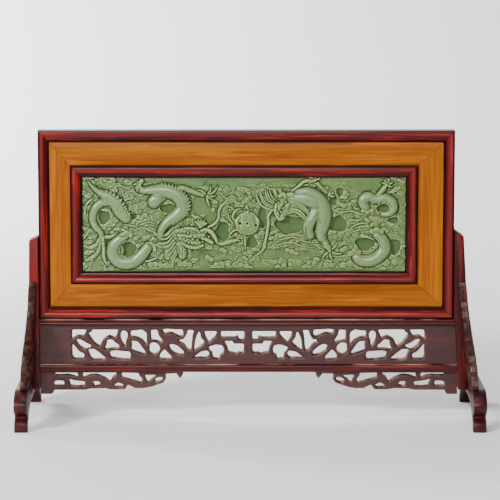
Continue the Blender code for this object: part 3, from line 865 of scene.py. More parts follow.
def box_blur(values: np.ndarray, reach: int) -> np.ndarray:
    """Average a grid over a square of neighbours.

    Args:
        values: the grid.
        reach: how many neighbours on each side.

    Returns:
        The averaged grid.
    """
    span = 2 * reach + 1
    for _ in range(2):
        total = np.cumsum(np.pad(values, ((reach + 1, reach), (0, 0)), mode="edge"), axis=0)
        values = ((total[span:] - total[:-span]) / span).T
    return values


@dataclass
class ReliefField:
    """A grid of carving heights in millimetres, measured from the panel's floor."""

    half_width: float
    half_height: float
    step: float = 0.52
    across: np.ndarray = field(init=False)
    up: np.ndarray = field(init=False)
    ground: np.ndarray = field(init=False)
    figure: np.ndarray = field(init=False)
    groove: np.ndarray = field(init=False)
    polish: np.ndarray = field(init=False)

    def __post_init__(self) -> None:
        """Lay out the grid."""
        self.across, self.up = (np.linspace(-half, half, int(round(2 * half / self.step)) + 1)
                                for half in (self.half_width, self.half_height))
        shape = (len(self.up), len(self.across))
        self.ground = np.full(shape, 3.4)
        self.figure, self.groove, self.polish = np.zeros((3, *shape))

    def window(self, points: Sequence[Sequence[float]], margin: float | Point
               ) -> tuple[tuple[slice, slice], np.ndarray, np.ndarray]:
        """Find the part of the grid near some points.

        Args:
            points: rows that start with (across, up).
            margin: how far the part reaches past them.

        Returns:
            The part as an index of the grid, then the across and up of its cells.
        """
        places = np.array(points, dtype=float)[:, :2]
        low, high = places.min(axis=0) - margin, places.max(axis=0) + margin
        columns = slice(*np.searchsorted(self.across, (low[0], high[0])))
        rows = slice(*np.searchsorted(self.up, (low[1], high[1])))
        return (rows, columns), *np.meshgrid(self.across[columns], self.up[rows])

    def cloud(self, lobes: Spine, level: float, lines: int) -> None:
        """Lay one cloud of round (across, up, radius) lobes, with contour lines cut inside its rim.

        Args:
            lobes: the lobes.
            level: height of the cloud's flat.
            lines: number of contour lines.
        """
        part, across, up = self.window(lobes, 1.3 * (max(lobe[2] for lobe in lobes) + 3.0))
        apart = rim_distance(lobes, across, up, 1.12)
        crown = level + 0.9 * (1.0 - np.exp(np.minimum(apart, 0.0) / 1.1))
        for number in range(lines):
            crown -= (0.30 - 0.08 * number) * fade(apart + 1.9 + 1.7 * number, 0.5)
        rim = 0.85 * fade(np.maximum(apart, 0.0), 0.8)
        self.ground[part] = np.where(apart < 0.0, crown, self.ground[part] - rim)

    def cover(self, lobes: Spine, level: float) -> None:
        """Lay a cloud over the figures, hiding what passes beneath it.

        Args:
            lobes: (across, up, radius) of each lobe.
            level: height of the cloud's flat.
        """
        part, across, up = self.window(lobes, max(lobe[2] for lobe in lobes) + 3.0)
        apart = rim_distance(lobes, across, up)
        crown = level + 1.0 - np.exp(np.minimum(apart, 0.0) / 1.2) - 0.3 * fade(apart + 1.6, 0.5)
        cut = 1.3 * fade(np.maximum(apart, 0.0), 0.9)
        self.figure[part] = np.where(apart < 0.0, crown, self.figure[part] - cut)
        self.polish[part] = np.where(apart < 0.0, 0.0, self.polish[part])

    def curl(self, centre: Point, size: float, turn: float) -> None:
        """Cut one spiral line into the ground.

        Args:
            centre: its middle.
            size: its radius.
            turn: where it starts; its sign gives the hand.
        """
        part, across, up = self.window([centre], size)
        share = np.hypot(across - centre[0], up - centre[1]) / size
        angle = np.arctan2(up - centre[1], across - centre[0]) * np.sign(turn) + turn
        spiral = share * 1.7 - angle / math.tau
        off_line = np.abs(spiral - np.round(spiral)) * size / 1.7
        self.ground[part] -= 0.42 * fade(off_line, 0.42) * np.clip((1.0 - share) * 5, 0, 1)

    def level_to(self, place: tuple[float, float, float, float], height: float, edge: float) -> None:
        """Bring a wavy oval of the ground, (across, up, half width, half height), smoothly to one height.

        Args:
            place: the oval.
            height: the new height.
            edge: share of its size over which it blends.
        """
        middle, half = np.array(place[:2]), np.array(place[2:])
        part, across, up = self.window([middle], half * (1.25 + 2 * edge))
        angle = np.arctan2(up - middle[1], across - middle[0])
        wobble = 1.0 + 0.09 * np.sin(3 * angle + middle[0]) + 0.05 * np.sin(5 * angle + middle[1])
        reach = np.hypot((across - middle[0]) / half[0], (up - middle[1]) / half[1]) / wobble
        share = np.clip((1.0 + edge - reach) / (2 * edge), 0.0, 1.0)
        share = share * share * (3 - 2 * share)
        self.ground[part] = self.ground[part] * (1 - share) + height * share

    def limb(self, top: float, spine: Spine, base: float = 3.0, shadow: float = 1.5,
             dive: Point = (0.0, 0.0), polish: float = 0.0, steps: int = 8) -> None:
        """Raise a round-backed form along a spine of (across, up, half width) rows.

        Args:
            top: height of its back.
            spine: rows of the spine.
            base: height where its sides meet the ground.
            shadow: depth of the cut beside it.
            dive: share of its length over which each end sinks to the base.
            polish: how smooth its surface is kept, from 0 to 1; a body near 1 has scales.
            steps: samples for each row.
        """
        samples = smooth_rows(spine, steps)
        lift = np.ones(len(samples))
        along = np.linspace(0.0, 1.0, len(samples))
        for share, place in ((dive[0], along), (dive[1], 1.0 - along)):
            if share > 0.0:
                lift *= np.clip(place / share, 0.0, 1.0) ** 0.6
        part, across, up = self.window(samples, samples[:, 2].max() + 3.0)
        height = np.zeros_like(across)
        outside = np.full_like(across, np.inf)
        travelled = 0.0
        for start, end, low, high in zip(samples[:-1], samples[1:], lift[:-1], lift[1:]):
            share, distance = beside(across, up, start, end)
            radius = start[2] + (end[2] - start[2]) * share
            inside = np.clip(1.0 - (distance / radius) ** 2, 0.0, 1.0)
            made = base + (top - base) * (low + (high - low) * share) * inside ** 0.5
            run = end[:2] - start[:2]
            length = math.hypot(*run)
            if polish >= 0.9 and length > 0.0:
                side = ((up - start[1]) * run[0] - (across - start[0]) * run[1]) / length
                row = (travelled + share * length) / 2.7
                scales = np.cos(math.tau * (row + 0.5 * np.round(side / 1.7))) + np.cos(math.tau * side / 1.7)
                made = made + 0.085 * scales * inside
            travelled += length
            height = np.maximum(height, np.where(distance < radius, made, 0.0))
            outside = np.minimum(outside, distance - radius)
        before = self.figure[part]
        self.polish[part] = np.where(height > before, polish, self.polish[part])
        self.figure[part] = np.maximum(before, height)
        dark = 1.25 * shadow * fade(np.maximum(outside, 0.0), 1.15)
        self.groove[part] = np.maximum(self.groove[part], dark)
        passed = (before >= height) & (before < top) & (before > 0.0) & (outside > 0.0)
        self.figure[part] -= np.where(passed, 0.75 * dark, 0.0)

    def strand(self, top: float, radius: float, *points: Point, base: float = 3.0,
               shadow: float = 0.8) -> None:
        """Raise a hair or ribbon that thins towards its tip."""
        widths = [0.9] + [1.0] * (len(points) - 2) + [0.4]
        spine = [(x, y, radius * width) for (x, y), width in zip(points, widths)]
        self.limb(top, spine, base, shadow, (0.0, 0.35), steps=6)

    def dent(self, centre: Point, radius: float, depth: float) -> None:
        """Sink a small round hollow into the figures."""
        part, across, up = self.window([centre], 2 * radius)
        distance = np.hypot(across - centre[0], up - centre[1]) / radius
        self.figure[part] -= depth * np.clip(1.3 - distance, 0.0, 1.0) ** 0.7

    def slit(self, depth: float, width: float, *points: Point) -> None:
        """Cut a line into the figures."""
        samples = smooth_rows(points, 6)
        part, across, up = self.window(samples, 3 * width)
        self.figure[part] -= depth * fade(line_distance(across, up, samples), width)

    def dome(self, centre: Point, radius: float, top: float, base: float = 3.0) -> None:
        """Raise a round button."""
        self.limb(top, [(*centre, radius), (centre[0] + 0.01, centre[1], radius)], base, steps=1)

    def spines(self, spine: Spine, side: float, top: float, span: Point, count: int, length: float) -> None:
        """Set a row of small fins along one flank of a body, over a span of its length.

        Args:
            spine: the body's rows.
            side: 1 for the flank on its left hand, -1 for the other.
            top: height of the fins.
            span: shares of the length where the row starts and ends.
            count: number of fins.
            length: length of a fin.
        """
        samples = smooth_rows(spine, 24)
        for share in np.linspace(*span, count):
            index = min(int(share * (len(samples) - 1)), len(samples) - 2)
            here, ahead = samples[index], samples[index + 1]
            run = (ahead - here)[:2]
            run /= max(np.linalg.norm(run), 1e-9)
            out = np.array((-run[1], run[0])) * side
            root = here[:2] + out * here[2] * 0.80
            tip = here[:2] + out * (here[2] + length * 0.42) - run * length * 0.5
            self.limb(top, [(*root, 1.7), (*tip, 0.7)], 3.4, 0.8, steps=3)

    def comb(self, first: Sequence[Point], last: Sequence[Point], count: int, top: float, base: float = 5.0,
             radius: float = 1.0) -> None:
        """Lay a lock of hair as strands fanned between two guide lines.

        Args:
            first, last: points of the two lines.
            count: number of strands.
            top: height of the strands.
            base: height where their sides end.
            radius: half width of a strand.
        """
        for index in range(count):
            share = index / (count - 1)
            sway = 1.1 * math.sin(2.4 * index)
            points = [(start[0] + share * (stop[0] - start[0]) + 0.3 * sway * number,
                       start[1] + share * (stop[1] - start[1]) + 0.2 * sway * number)
                      for number, (start, stop) in enumerate(zip(first, last))]
            self.strand(top + 0.25 * math.sin(1.7 * index), radius * (1.0 + 0.2 * math.cos(2.1 * index)),
                        *points, base=base, shadow=0.45 * radius)

    def claw(self, palm: Point, fingers: Sequence[Point], top: float) -> None:
        """Spread the fingers of one foot from its palm; each finger is (angle in degrees, length).

        Args:
            palm: middle of the palm.
            fingers: the fingers.
            top: height of the foot.
        """
        self.dome(palm, 2.7, top)
        for angle, length in fingers:
            turn, bend = math.radians(angle), math.radians(angle + 24)
            knuckle = (palm[0] + 0.55 * length * math.cos(turn), palm[1] + 0.55 * length * math.sin(turn))
            tip = (knuckle[0] + 0.45 * length * math.cos(bend), knuckle[1] + 0.45 * length * math.sin(bend))
            self.limb(top, [(*palm, 1.7), (*knuckle, 1.35), (*tip, 0.4)], 3.2, 1.2, steps=5)

    def heights(self) -> np.ndarray:
        """Final heights: figures over a ground that dips beside them."""
        return np.maximum(np.maximum(self.ground - self.groove, 0.0), self.figure)


@dataclass
class StonePanel:
    """The carved slab: two dragons reaching for a pearl among clouds."""

    finishes: Finishes
    seed: int = 11
    relief_depth: float = 0.0094
    back_tint: float = 0.40
    pockets: tuple[tuple[float, float, float, float], ...] = (
        (57.5, -0.5, 20, 11), (117, 1, 11.5, 9.6), (119.5, 41.5, 4.2, 5), (111.5, 30.5, 4.2, 6.5),
        (173.5, 20.5, 7.5, 4.8), (187, 5.5, 6.5, 3.8), (151, -24.5, 11.5, 8), (188.5, -27.5, 7.2, 9.5),
        (9.5, -22.4, 7, 7.2), (22.5, 8.5, 5.4, 13.5), (-170.8, -27.3, 4.6, 8.6), (-95.4, 20.2, 9.5, 5.8),
        (-143.5, -31, 8, 9.5), (-175.2, 9.7, 7.4, 8.2), (-139, 10.4, 5.4, 3.4), (-27, -8.5, 8.5, 11.5))
    smooth_grounds: tuple[tuple[float, float, float, float], ...] = (
        (30, 60, 160, 9.5), (152, 50, 26, 9), (-62, 57, 62, 10), (-54, 24, 13.5, 13), (-42, 6, 8, 10),
        (0, -61.5, 210, 6.5), (38, -36, 22, 6), (68, -38, 22, 5.5), (-48, -37, 20, 6))

    def build(self) -> None:
        """Carve the panel and put it in the scene."""
        low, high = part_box("stone_panel")
        relief = ReliefField(500 * (high.x - low.x), 500 * (high.z - low.z))
        self.carve(relief)
        heights = relief.heights()
        front = np.maximum(low.y + self.relief_depth - heights * MM, low.y)
        mesh = self.slab_mesh(relief, front, high.y, 0.5 * (low + high))
        for name, values in zip(("carving", "polish", "sunk"), self.tint(relief, heights)):
            rest = np.full(len(mesh.vertices) - values.size, self.back_tint if name == "carving" else 0.0)
            store(mesh, name, np.concatenate([values.ravel(), rest]))
        mesh = modified_mesh("carved_panel", mesh, "DECIMATE", {"ratio": 0.50})
        make_piece(mesh, self.finishes.stone, "stone_panel", 180.0, "carved_panel")

    def carve(self, relief: ReliefField) -> None:
        """Carve the clouds, pockets, dragons and pearl into the field.

        Args:
            relief: the grid that is carved.
        """
        self.lay_clouds(relief)
        for place in self.smooth_grounds:
            relief.level_to(place, 2.9, 0.08)
        self.lay_named_clouds(relief)
        for place in self.pockets:
            relief.level_to(place, 0.0, 0.10)
        self.carve_left_body(relief)
        self.carve_left_head(relief)
        self.carve_right_body(relief)
        self.carve_right_head(relief)
        self.lay_near_clouds(relief)
        self.carve_pearl(relief)

    def lay_clouds(self, relief: ReliefField) -> None:
        """Cover the ground with layers of drifting clouds, the large ones first.

        Args:
            relief: the grid that is carved.
        """
        chance = np.random.default_rng(self.seed)
        for size, spread, level in ((6.6, 23.0, 3.6), (5.0, 23.0, 4.1), (3.6, 25.0, 4.6), (2.6, 34.0, 4.9)):
            rows = np.arange(-56.0, 57.0, 0.74 * spread)
            for index, up in enumerate(rows):
                for across in np.arange(-200.0 + 0.5 * spread * (index % 2), 202.0, spread * 1.25):
                    x, y = np.array((across, up)) + chance.uniform(-0.45, 0.45, 2) * spread
                    heading = chance.choice((-1.0, 1.0))
                    count = int(chance.integers(2, 5))
                    lobes = []
                    for number in range(count):
                        place = number - 0.5 * (count - 1)
                        radius = size * chance.uniform(0.6, 1.0) * (1.0 - 0.10 * abs(place))
                        lobes.append((x + 1.15 * size * place, y + heading * 0.45 * size * place
                                      + chance.uniform(-0.45, 0.45) * size, radius))
                    relief.cloud(lobes, level + chance.uniform(-0.4, 0.4), 1)
                    if chance.uniform() < 0.7:
                        relief.curl(lobes[0][:2], 0.9 * lobes[0][2], heading * chance.uniform(0.5, 3.0))
        rough = chance.normal(0.0, 1.0, relief.ground.shape)
        relief.ground += 0.55 * box_blur(rough, 1) + 1.2 * box_blur(box_blur(rough, 3), 3)

    def lay_named_clouds(self, relief: ReliefField) -> None:
        """Set the clouds and ribbons that have a place of their own.

        Args:
            relief: the grid that is carved.
        """
        for lobes in ([(-117, -50, 3.4), (-111, -50, 3)], [(-104, -52, 3), (-97, -51.5, 3.6), (-91, -52, 3)],
                      [(-80, -49.5, 3), (-74, -49.5, 3.6), (-68, -50.5, 3)],
                      [(-35, -50, 2.6), (-28, -50, 3.4), (-20, -50, 2.8)],
                      [(-4, -51, 3), (3, -52, 3)], [(54, -32, 2.4), (60, -34, 3), (66, -36.5, 2.6)],
                      [(88, -48, 2.6), (81, -47.5, 2.6)], [(124, -51, 4), (133, -49, 4), (141, -51.5, 3.6)],
                      [(168, -50, 4.2), (178, -48, 4.6), (189, -47, 4)], [(58, -50, 2.6), (50, -51, 3)],
                      [(-46, -41, 3), (-41, -44, 2.8)]):
            relief.cloud(lobes, 4.6, 2)
        for points in (((124.5, -17.5), (133, -10.5), (145.5, -6.5), (158, -6.5)),
                       ((127.5, -12), (138.5, -0.8), (152.5, 2), (156, 0.5)),
                       ((133, 6), (144, 6), (152.5, 10.5)), ((120, 14), (134, 17), (146, 13), (153, 16)),
                       ((135, 27), (140, 20), (150, 22)), ((45, -19), (62, -16), (77, -21.5), (95, -23)),
                       ((40, -26), (58, -22), (72, -27), (92, -30)), ((108, 22), (118, 16), (130, 17)),
                       ((-138, -8), (-126, -4), (-114, -9), (-104, -6)), ((-150, 0), (-138, -2), (-124, -10)),
                       ((-130, 0), (-118, 3), (-108, -1)), ((-156, 50), (-146, 46), (-138, 50)),
                       ((-30, 40), (-22, 33), (-14, 36), (-6, 30)), ((-22, 24), (-14, 20), (-12, 12)),
                       ((20, 50), (36, 44), (50, 46)), ((96, -44), (110, -46), (126, -42))):
            relief.strand(5.1, 1.0, *points, base=3.6)

    def carve_left_body(self, relief: ReliefField) -> None:
        """The left dragon's tail, body and claws.

        Args:
            relief: the grid that is carved.
        """
        body = [(-131, 43.5, 3.6), (-122, 43, 4.8), (-112, 43.5, 6.4), (-100, 43, 8), (-87, 39, 8.7),
                (-78.5, 31, 8.9), (-76.5, 21, 8.7), (-83, 12.5, 7.8), (-92, 6.5, 6.8), (-99, 0, 5.6),
                (-103.5, -7, 4.8), (-104.5, -13, 4.2)]
        coil = [(-149, -14.5, 4.8), (-156, -18.5, 6.2), (-163, -27, 7.4), (-164, -37.5, 8),
                (-157.5, -46, 8.2), (-147, -49, 8.2), (-136, -45.5, 7.8), (-127, -37, 7.2), (-120, -27.5, 6)]
        limb = [(-195, 55, 1.2), (-189, 47.5, 2.4), (-181, 41, 4), (-170, 35, 7), (-160.5, 27, 8.3),
                (-154, 16, 8.3), (-147.5, 8.5, 6.8)]
        branch = [(-168, 28, 5), (-178, 27.5, 5.2), (-186.5, 19.5, 4.9), (-189.5, 8, 4.6), (-186, -2.5, 4.1),
                  (-179.5, -10, 3.6), (-178, -18, 3)]
        for top, radius, points in (
                (5.8, 2.4, ((-180, -16), (-185, -25), (-193, -29), (-203, -26))),
                (5.8, 2.8, ((-179, -21), (-183, -34), (-191, -42), (-200, -46))),
                (6.2, 2.0, ((-177, -15), (-176, -30), (-175.5, -42), (-171, -52))),
                (5.6, 1.4, ((-192, -6), (-198, -14), (-202, -19))),
                (5.6, 1.5, ((-190, 32), (-197, 25), (-199, 12), (-195, 2))),
                (6.4, 2.4, ((-175, -15.5), (-166, -15), (-158, -10))),
                (5.8, 1.4, ((-133, -42), (-122, -46), (-112, -43), (-106, -40))),
                (5.8, 1.4, ((-118, -26), (-111, -31), (-118, -40)))):
            relief.strand(top, radius, *points)
        relief.limb(7.4, branch, 3.0, 1.5, (0.0, 0.1), 0.8)
        relief.limb(8.6, limb, 3.0, 1.7, (0.15, 0.0), 1.0)
        relief.limb(8.9, coil, 3.0, 1.7, (0.0, 0.0), 1.0)
        relief.spines(coil, 1.0, 6.6, (0.05, 0.62), 14, 2.0)
        relief.slit(1.1, 0.5, (-115, -27), (-118.5, -32), (-123, -37))
        relief.spines(limb, 1.0, 7.0, (0.45, 0.98), 10, 2.2)
        relief.limb(8.7, [(-101, 36.5, 6), (-108, 33.5, 8), (-112.5, 28.5, 8)], 3.0, 1.7, (0.5, 0.0), 1.0)
        relief.spines(body, 1.0, 7.8, (0.26, 0.74), 21, 2.6)
        relief.limb(9.3, body, 3.0, 1.7, (0.12, 0.0), 1.0)
        relief.limb(7.8, [(-125, 42, 3.6), (-129, 47, 3.2), (-130, 52, 2.8), (-127.5, 56, 2.2)])
        relief.claw((-130, 50), [(168, 9), (120, 6), (48, 8), (212, 8), (238, 10)], 7.6)
        relief.limb(6.8, [(-86, 45, 2.6), (-77, 46, 3.2), (-68, 43, 3.4), (-57, 39, 3), (-47, 36.5, 2.6)],
                    3.0, 1.5, (0.2, 0.0), 0.5)
        relief.claw((-46, 36.2), [(136, 15), (32, 19), (60, 14), (-8, 11), (-84, 15), (-40, 9)], 6.8)

    def carve_left_head(self, relief: ReliefField) -> None:
        """The left dragon's mane and head, low and facing right.

        Args:
            relief: the grid that is carved.
        """
        relief.limb(6.0, [(-78, -12, 7), (-86, -23, 9.5), (-92, -33, 8.5), (-95, -40, 5)], 3.0, 1.2)
        relief.comb(((-82, -2), (-90, -6), (-98, -13), (-108, -13), (-114, -8)),
                  ((-79, -27), (-84, -36), (-88, -44), (-89, -49), (-87, -53)), 8, 6.5, 5.0, 1.4)
        relief.limb(7.8, [(-80, -24, 5), (-77.5, -33, 6), (-77.5, -39, 5)], 3.0, 1.7)
        relief.slit(1.0, 0.45, (-82, -27), (-81, -34), (-82, -40))
        relief.slit(1.0, 0.45, (-77.5, -28), (-77, -34), (-77, -41))
        relief.limb(7.0, [(-84, -11, 7), (-76, -14.5, 9.5), (-66, -16, 10), (-57, -15, 8.5), (-50, -15, 6)],
                    3.0, 1.6)
        for top, rows in (
                (8.0, [(-84, -8, 3), (-75, -8, 4.2), (-66, -7.5, 4.6), (-58, -6.5, 3.6)]),
                (8.4, [(-80, -16, 3), (-73, -19, 4.2), (-65, -21.5, 4.6), (-57, -23, 3.8)]),
                (8.8, [(-66, -13.5, 4), (-58, -13.5, 4.6), (-51, -12, 4.4)]),
                (8.6, [(-82, -13, 2.2), (-74, -13.5, 3), (-67, -14.5, 2.6)]),
                (8.2, [(-78, -22.5, 2.2), (-70, -27, 2.8), (-60, -28.5, 2.6), (-52, -26, 2)]),
                (9.0, [(-54, -7.5, 2.4), (-47, -6.5, 2.8), (-41, -9.5, 2.8), (-37, -15, 2.4), (-34, -21, 2)]),
                (8.6, [(-52, -17, 2.6), (-45.5, -19.5, 2.8), (-40, -22.5, 2.2)]),
                (8.9, [(-74, -4.5, 1.4), (-66, -4.5, 1.8), (-59, -7, 1.6), (-55, -10, 1.2)])):
            relief.limb(top, rows, 4.6, 1.0)
        for index in range(7):
            x = -83 + 4.2 * index
            relief.slit(0.7, 0.45, (x, -3.5), (x + 2.6, -7.5), (x + 1.6, -12))
        for x, y, radius in ((-70, -10, 1.6), (-64, -18, 1.7), (-75, -17, 1.5), (-58, -19, 1.5),
                             (-48, -9, 1.4), (-44, -15, 1.4), (-52, -21, 1.4), (-69, -22, 1.5)):
            relief.dome((x, y), radius, 9.2, 6.4)
        for index in range(5):
            turn = math.radians(128 - 24 * index)
            out, rise = math.cos(turn), math.sin(turn)
            relief.limb(8.8 - 0.2 * index, [(-55, -3, 1.8), (-55 + 5.5 * out, -2.5 + 5.5 * rise, 2),
                                            (-55 + 9.5 * out, -2.5 + 8.5 * rise, 1.2)], 3.6, 1.2)
        relief.dome((-61.2, -13.8), 2.6, 9.4, 6.0)
        relief.dent((-60.8, -13.6), 1.0, 1.8)
        relief.dent((-47.5, -12.8), 1.2, 2.4)
        relief.slit(2.6, 0.8, (-55, -19.5), (-49, -20.5), (-44, -24))
        for index in range(5):
            x = -74 + 5.0 * index
            relief.slit(0.9, 0.4, (x, -18 - 0.9 * index), (x + 2.2, -22 - 0.7 * index), (x + 0.5, -26))
        relief.strand(6.6, 1.7, (-44.5, -3), (-37, 1.2), (-32, 8), (-31.2, 17.2), (-28.5, 23), (-22.9, 28.5),
                      (-18.5, 35.5))
        relief.limb(6.6, [(-34, -22.5, 1.8), (-27, -24, 2.6), (-18, -21.5, 2.8), (-10, -19.5, 1.6),
                          (-5, -20.5, 0.8)])

    def carve_right_body(self, relief: ReliefField) -> None:
        """The right dragon's body, coils and claws.

        Args:
            relief: the grid that is carved.
        """
        back = [(64, 39, 3.6), (72, 41.5, 5), (82, 40.5, 6.4), (92, 34, 7.6), (98.5, 24, 8.6), (100.5, 12, 9),
                (98.5, 0, 8.6), (96, -10, 7.2), (97, -16, 6)]
        belly = [(92, 22, 6), (87, 12, 6.8), (82, 3, 6.8), (80, -6, 6.4), (82.5, -13.5, 5.4)]
        coil = [(139, -38.5, 5), (145, -44.5, 7), (156, -46, 7.6), (168, -41, 7.8), (176, -31, 7.6),
                (174, -20, 7), (166, -12.5, 5.4)]
        loop = [(152, 21, 5.5), (148.5, 29, 6.6), (154, 35, 6.4), (165, 32, 6), (176, 33.5, 6),
                (185, 28.5, 5.8), (187, 20.5, 5.2), (181.5, 14, 4), (173, 12.5, 2.6)]
        relief.strand(6.6, 2.2, (60, 42), (69, 49), (76, 54.5), (88, 54), (96.5, 46.5), (105, 38), (110, 34))
        relief.claw((89, 56), [(150, 11), (85, 6), (20, 7), (200, 9)], 6.6)
        relief.claw((106, 37), [(30, 8), (-20, 8), (75, 7)], 6.0)
        relief.limb(8.4, loop, 3.0, 1.7, (0.0, 0.2), 1.0)
        relief.limb(7.2, [(166, 35, 3.6), (172, 42, 3), (177, 49.5, 2.6)])
        relief.claw((178, 50), [(20, 9), (62, 9), (110, 8), (-25, 8), (150, 7)], 6.8)
        relief.spines(loop, -1.0, 7.0, (0.35, 0.8), 9, 2.0)
        relief.limb(8.6, coil, 3.0, 1.7, (0.12, 0.0), 1.0)
        relief.slit(1.2, 0.5, (166, -15), (170, -23), (169, -32), (162, -38.5))
        relief.slit(1.0, 0.45, (173, -14), (178.5, -22), (178.5, -32))
        relief.spines(back, -1.0, 7.6, (0.16, 0.55), 15, 2.8)
        relief.limb(7.8, [(97, -12, 6), (100, -20, 4.8), (104, -27, 3.8), (107.5, -33, 3.2)], 3.0, 1.6,
                    polish=0.7)
        relief.claw((107, -33), [(38, 15), (-22, 17), (-82, 13), (-140, 15), (140, 13), (80, 8)], 6.8)
        relief.limb(9.2, back, 3.0, 1.7, (0.15, 0.0), 1.0)
        relief.limb(9.4, belly, 5.0, 0.5, (0.45, 0.0), 1.0)
        relief.slit(3.0, 0.9, (77.5, -4), (78, -13), (83, -18.5), (88, -16))
        relief.slit(2.4, 0.7, (94.5, 5), (95, 1.5))
        relief.slit(1.6, 0.6, (89, -6), (90.5, -11), (87, -17))

    def carve_right_head(self, relief: ReliefField) -> None:
        """The right dragon's neck, mane and head, high and facing left.

        Args:
            relief: the grid that is carved.
        """
        relief.limb(6.2, [(50, 24, 8), (62, 28, 9.5), (74, 28, 9), (84, 30, 6)], 3.0, 1.2)
        relief.limb(8.4, [(52, 33, 4.5), (60, 32.5, 7), (70, 32.5, 9), (80, 31, 9.5), (88, 28, 8)], 3.0, 1.0,
                    (0.1, 0.0), 1.0)
        relief.comb(((50, 12), (57, 15.5), (64, 16.5), (71, 12.5), (76, 6.5)),
                  ((54, 27), (62, 28), (71, 25.5), (79, 19), (83, 11)), 6, 8.2, 5.6, 1.5)
        relief.limb(5.4, [(42, 26, 5), (32, 30, 5.5), (24, 33, 4)], 3.0, 1.0)
        relief.comb(((38, 19), (30, 20), (22, 24), (17, 32), (15, 40)),
                  ((46, 34), (45, 38), (44, 41), (43.5, 44), (43, 47)), 9, 6.6, 4.8)
        relief.strand(7.8, 1.4, (47, 34), (46, 39), (45.5, 47), base=4.2)
        relief.limb(7.2, [(57, 36, 5), (51, 31, 7.5), (47, 24, 8), (46, 16, 6.5), (45, 11, 4.5)], 3.0, 1.6)
        for top, rows in (
                (8.2, [(60, 38, 3), (53, 36, 3.6), (47, 31.5, 3.8)]),
                (8.8, [(50, 30, 3.8), (45, 25, 4.2), (42, 18, 4), (43, 12, 3.4)]),
                (8.6, [(54, 25, 3.6), (51.5, 18, 4), (48, 12, 3.8), (45, 8.5, 3)]),
                (9.0, [(44, 36, 2.2), (49, 38.5, 2.6), (51.5, 35, 2)]),
                (8.8, [(40.5, 26, 1.8), (38.8, 19, 2), (40, 13, 1.8)]),
                (8.4, [(41, 10.5, 1.8), (44, 7, 2), (49, 8.5, 2.2)])):
            relief.limb(top, rows, 4.8, 1.0)
        for x, y, radius in ((49, 21, 1.6), (46, 16, 1.4), (52, 29, 1.6), (43, 28, 1.4), (55, 33, 1.5),
                             (51, 14, 1.3)):
            relief.dome((x, y), radius, 9.2, 6.6)
        relief.dome((47, 30.4), 2.2, 9.4, 6.0)
        relief.dent((47, 30.6), 0.9, 2.4)
        relief.dent((40.6, 16.5), 0.9, 2.0)
        relief.slit(2.4, 0.7, (41.5, 20), (44.5, 14.5), (44.5, 10))
        relief.strand(6.8, 1.9, (40, 20), (34, 17), (30, 10), (30.5, 2), (29, -8), (27.5, -17), (24, -30),
                      (21, -40))
        relief.strand(5.8, 1.3, (27, -17), (26, -28), (18, -37), (9, -42))

    def lay_near_clouds(self, relief: ReliefField) -> None:
        """Hide both ends of the coils behind small clouds.

        Args:
            relief: the grid that is carved.
        """
        for level, lobes in ((6.2, [(-152, -12.5, 3.0), (-147, -11, 3.6), (-142, -13, 3.0)]),
                             (5.6, [(-117, -24, 2.6), (-113, -27, 3.0), (-112, -32, 2.4)]),
                             (6.2, [(160, -8.5, 3.0), (165.5, -6.5, 3.6), (171.5, -9, 3.0)]),
                             (5.8, [(133, -36.5, 3.2), (138, -33.5, 3.4), (143.5, -35, 2.8)]),
                             (5.6, [(149, 18, 2.6), (154, 16.5, 3.0), (159.5, 18, 2.6)])):
            relief.cover(lobes, level)

    def carve_pearl(self, relief: ReliefField) -> None:
        """The pierced pearl with its pointed flame and licks of fire.

        Args:
            relief: the grid that is carved.
        """
        for top, radius, points in (
                (7.0, 3.2, ((3.5, 13), (3.4, 18), (3.0, 25))),
                (6.6, 1.4, ((-10, 3), (-14, 10), (-10, 18), (-3, 20))),
                (6.4, 1.3, ((-9, -6), (-15, -9), (-19, -15))), (6.4, 1.4, ((1, -12), (1.2, -22), (2, -32))),
                (6.2, 1.2, ((-5, -12), (-9, -19), (-15, -24))),
                (6.0, 1.2, ((-14, 2), (-19, 8), (-20, 16)))):
            relief.strand(top, radius, *points)
        part, across, up = relief.window([(4, 2)], (18, 20))
        share = np.hypot((across - 4) / 1.02, up - 1.5) / 15.0
        crown = 5.0 + 3.4 * np.clip(1.0 - share ** 2.4, 0.0, 1.0) ** 0.6
        relief.figure[part] = np.maximum(relief.figure[part], np.where(share < 1.0, crown, 0.0))
        relief.groove[part] = np.maximum(relief.groove[part], 1.6 * fade(np.maximum(share - 1, 0) * 15, 1.0))
        relief.limb(8.3, [(-6, 10, 1), (-9.5, 4.5, 2.4), (-8, -2, 1.4)], 5.5, 0.4)
        relief.limb(8.3, [(14, 10.5, 1), (16.5, 5.5, 2.4), (17, -1, 1.4)], 5.5, 0.4)
        for place, radius in (((2.8, 18.5), 1.5), ((-5.1, 2.0), 1.5), ((3.9, 1.8), 1.1), ((14.7, -0.4), 1.5)):
            relief.dent(place, radius, 5.0)

    def tint(self, relief: ReliefField, heights: np.ndarray) -> tuple[np.ndarray, ...]:
        """Find each point's painted light, how polished it is and how deeply sunk it is.

        Args:
            relief: the grid.
            heights: final heights.

        Returns:
            Three grids from 0 to 1: painted shade in hollows up to highlights on ridges, polish, and lying on
                a pocket's floor.
        """
        broad, fine = heights, heights
        for _ in range(3):
            broad, fine = box_blur(broad, 5), box_blur(fine, 1)
        local = np.clip((heights - broad) / 2.6, -1.0, 1.0)
        crisp = np.clip((heights - fine) / 0.5, -1.0, 1.0)
        polish = relief.polish * (relief.figure > np.maximum(relief.ground - relief.groove, 0.5))
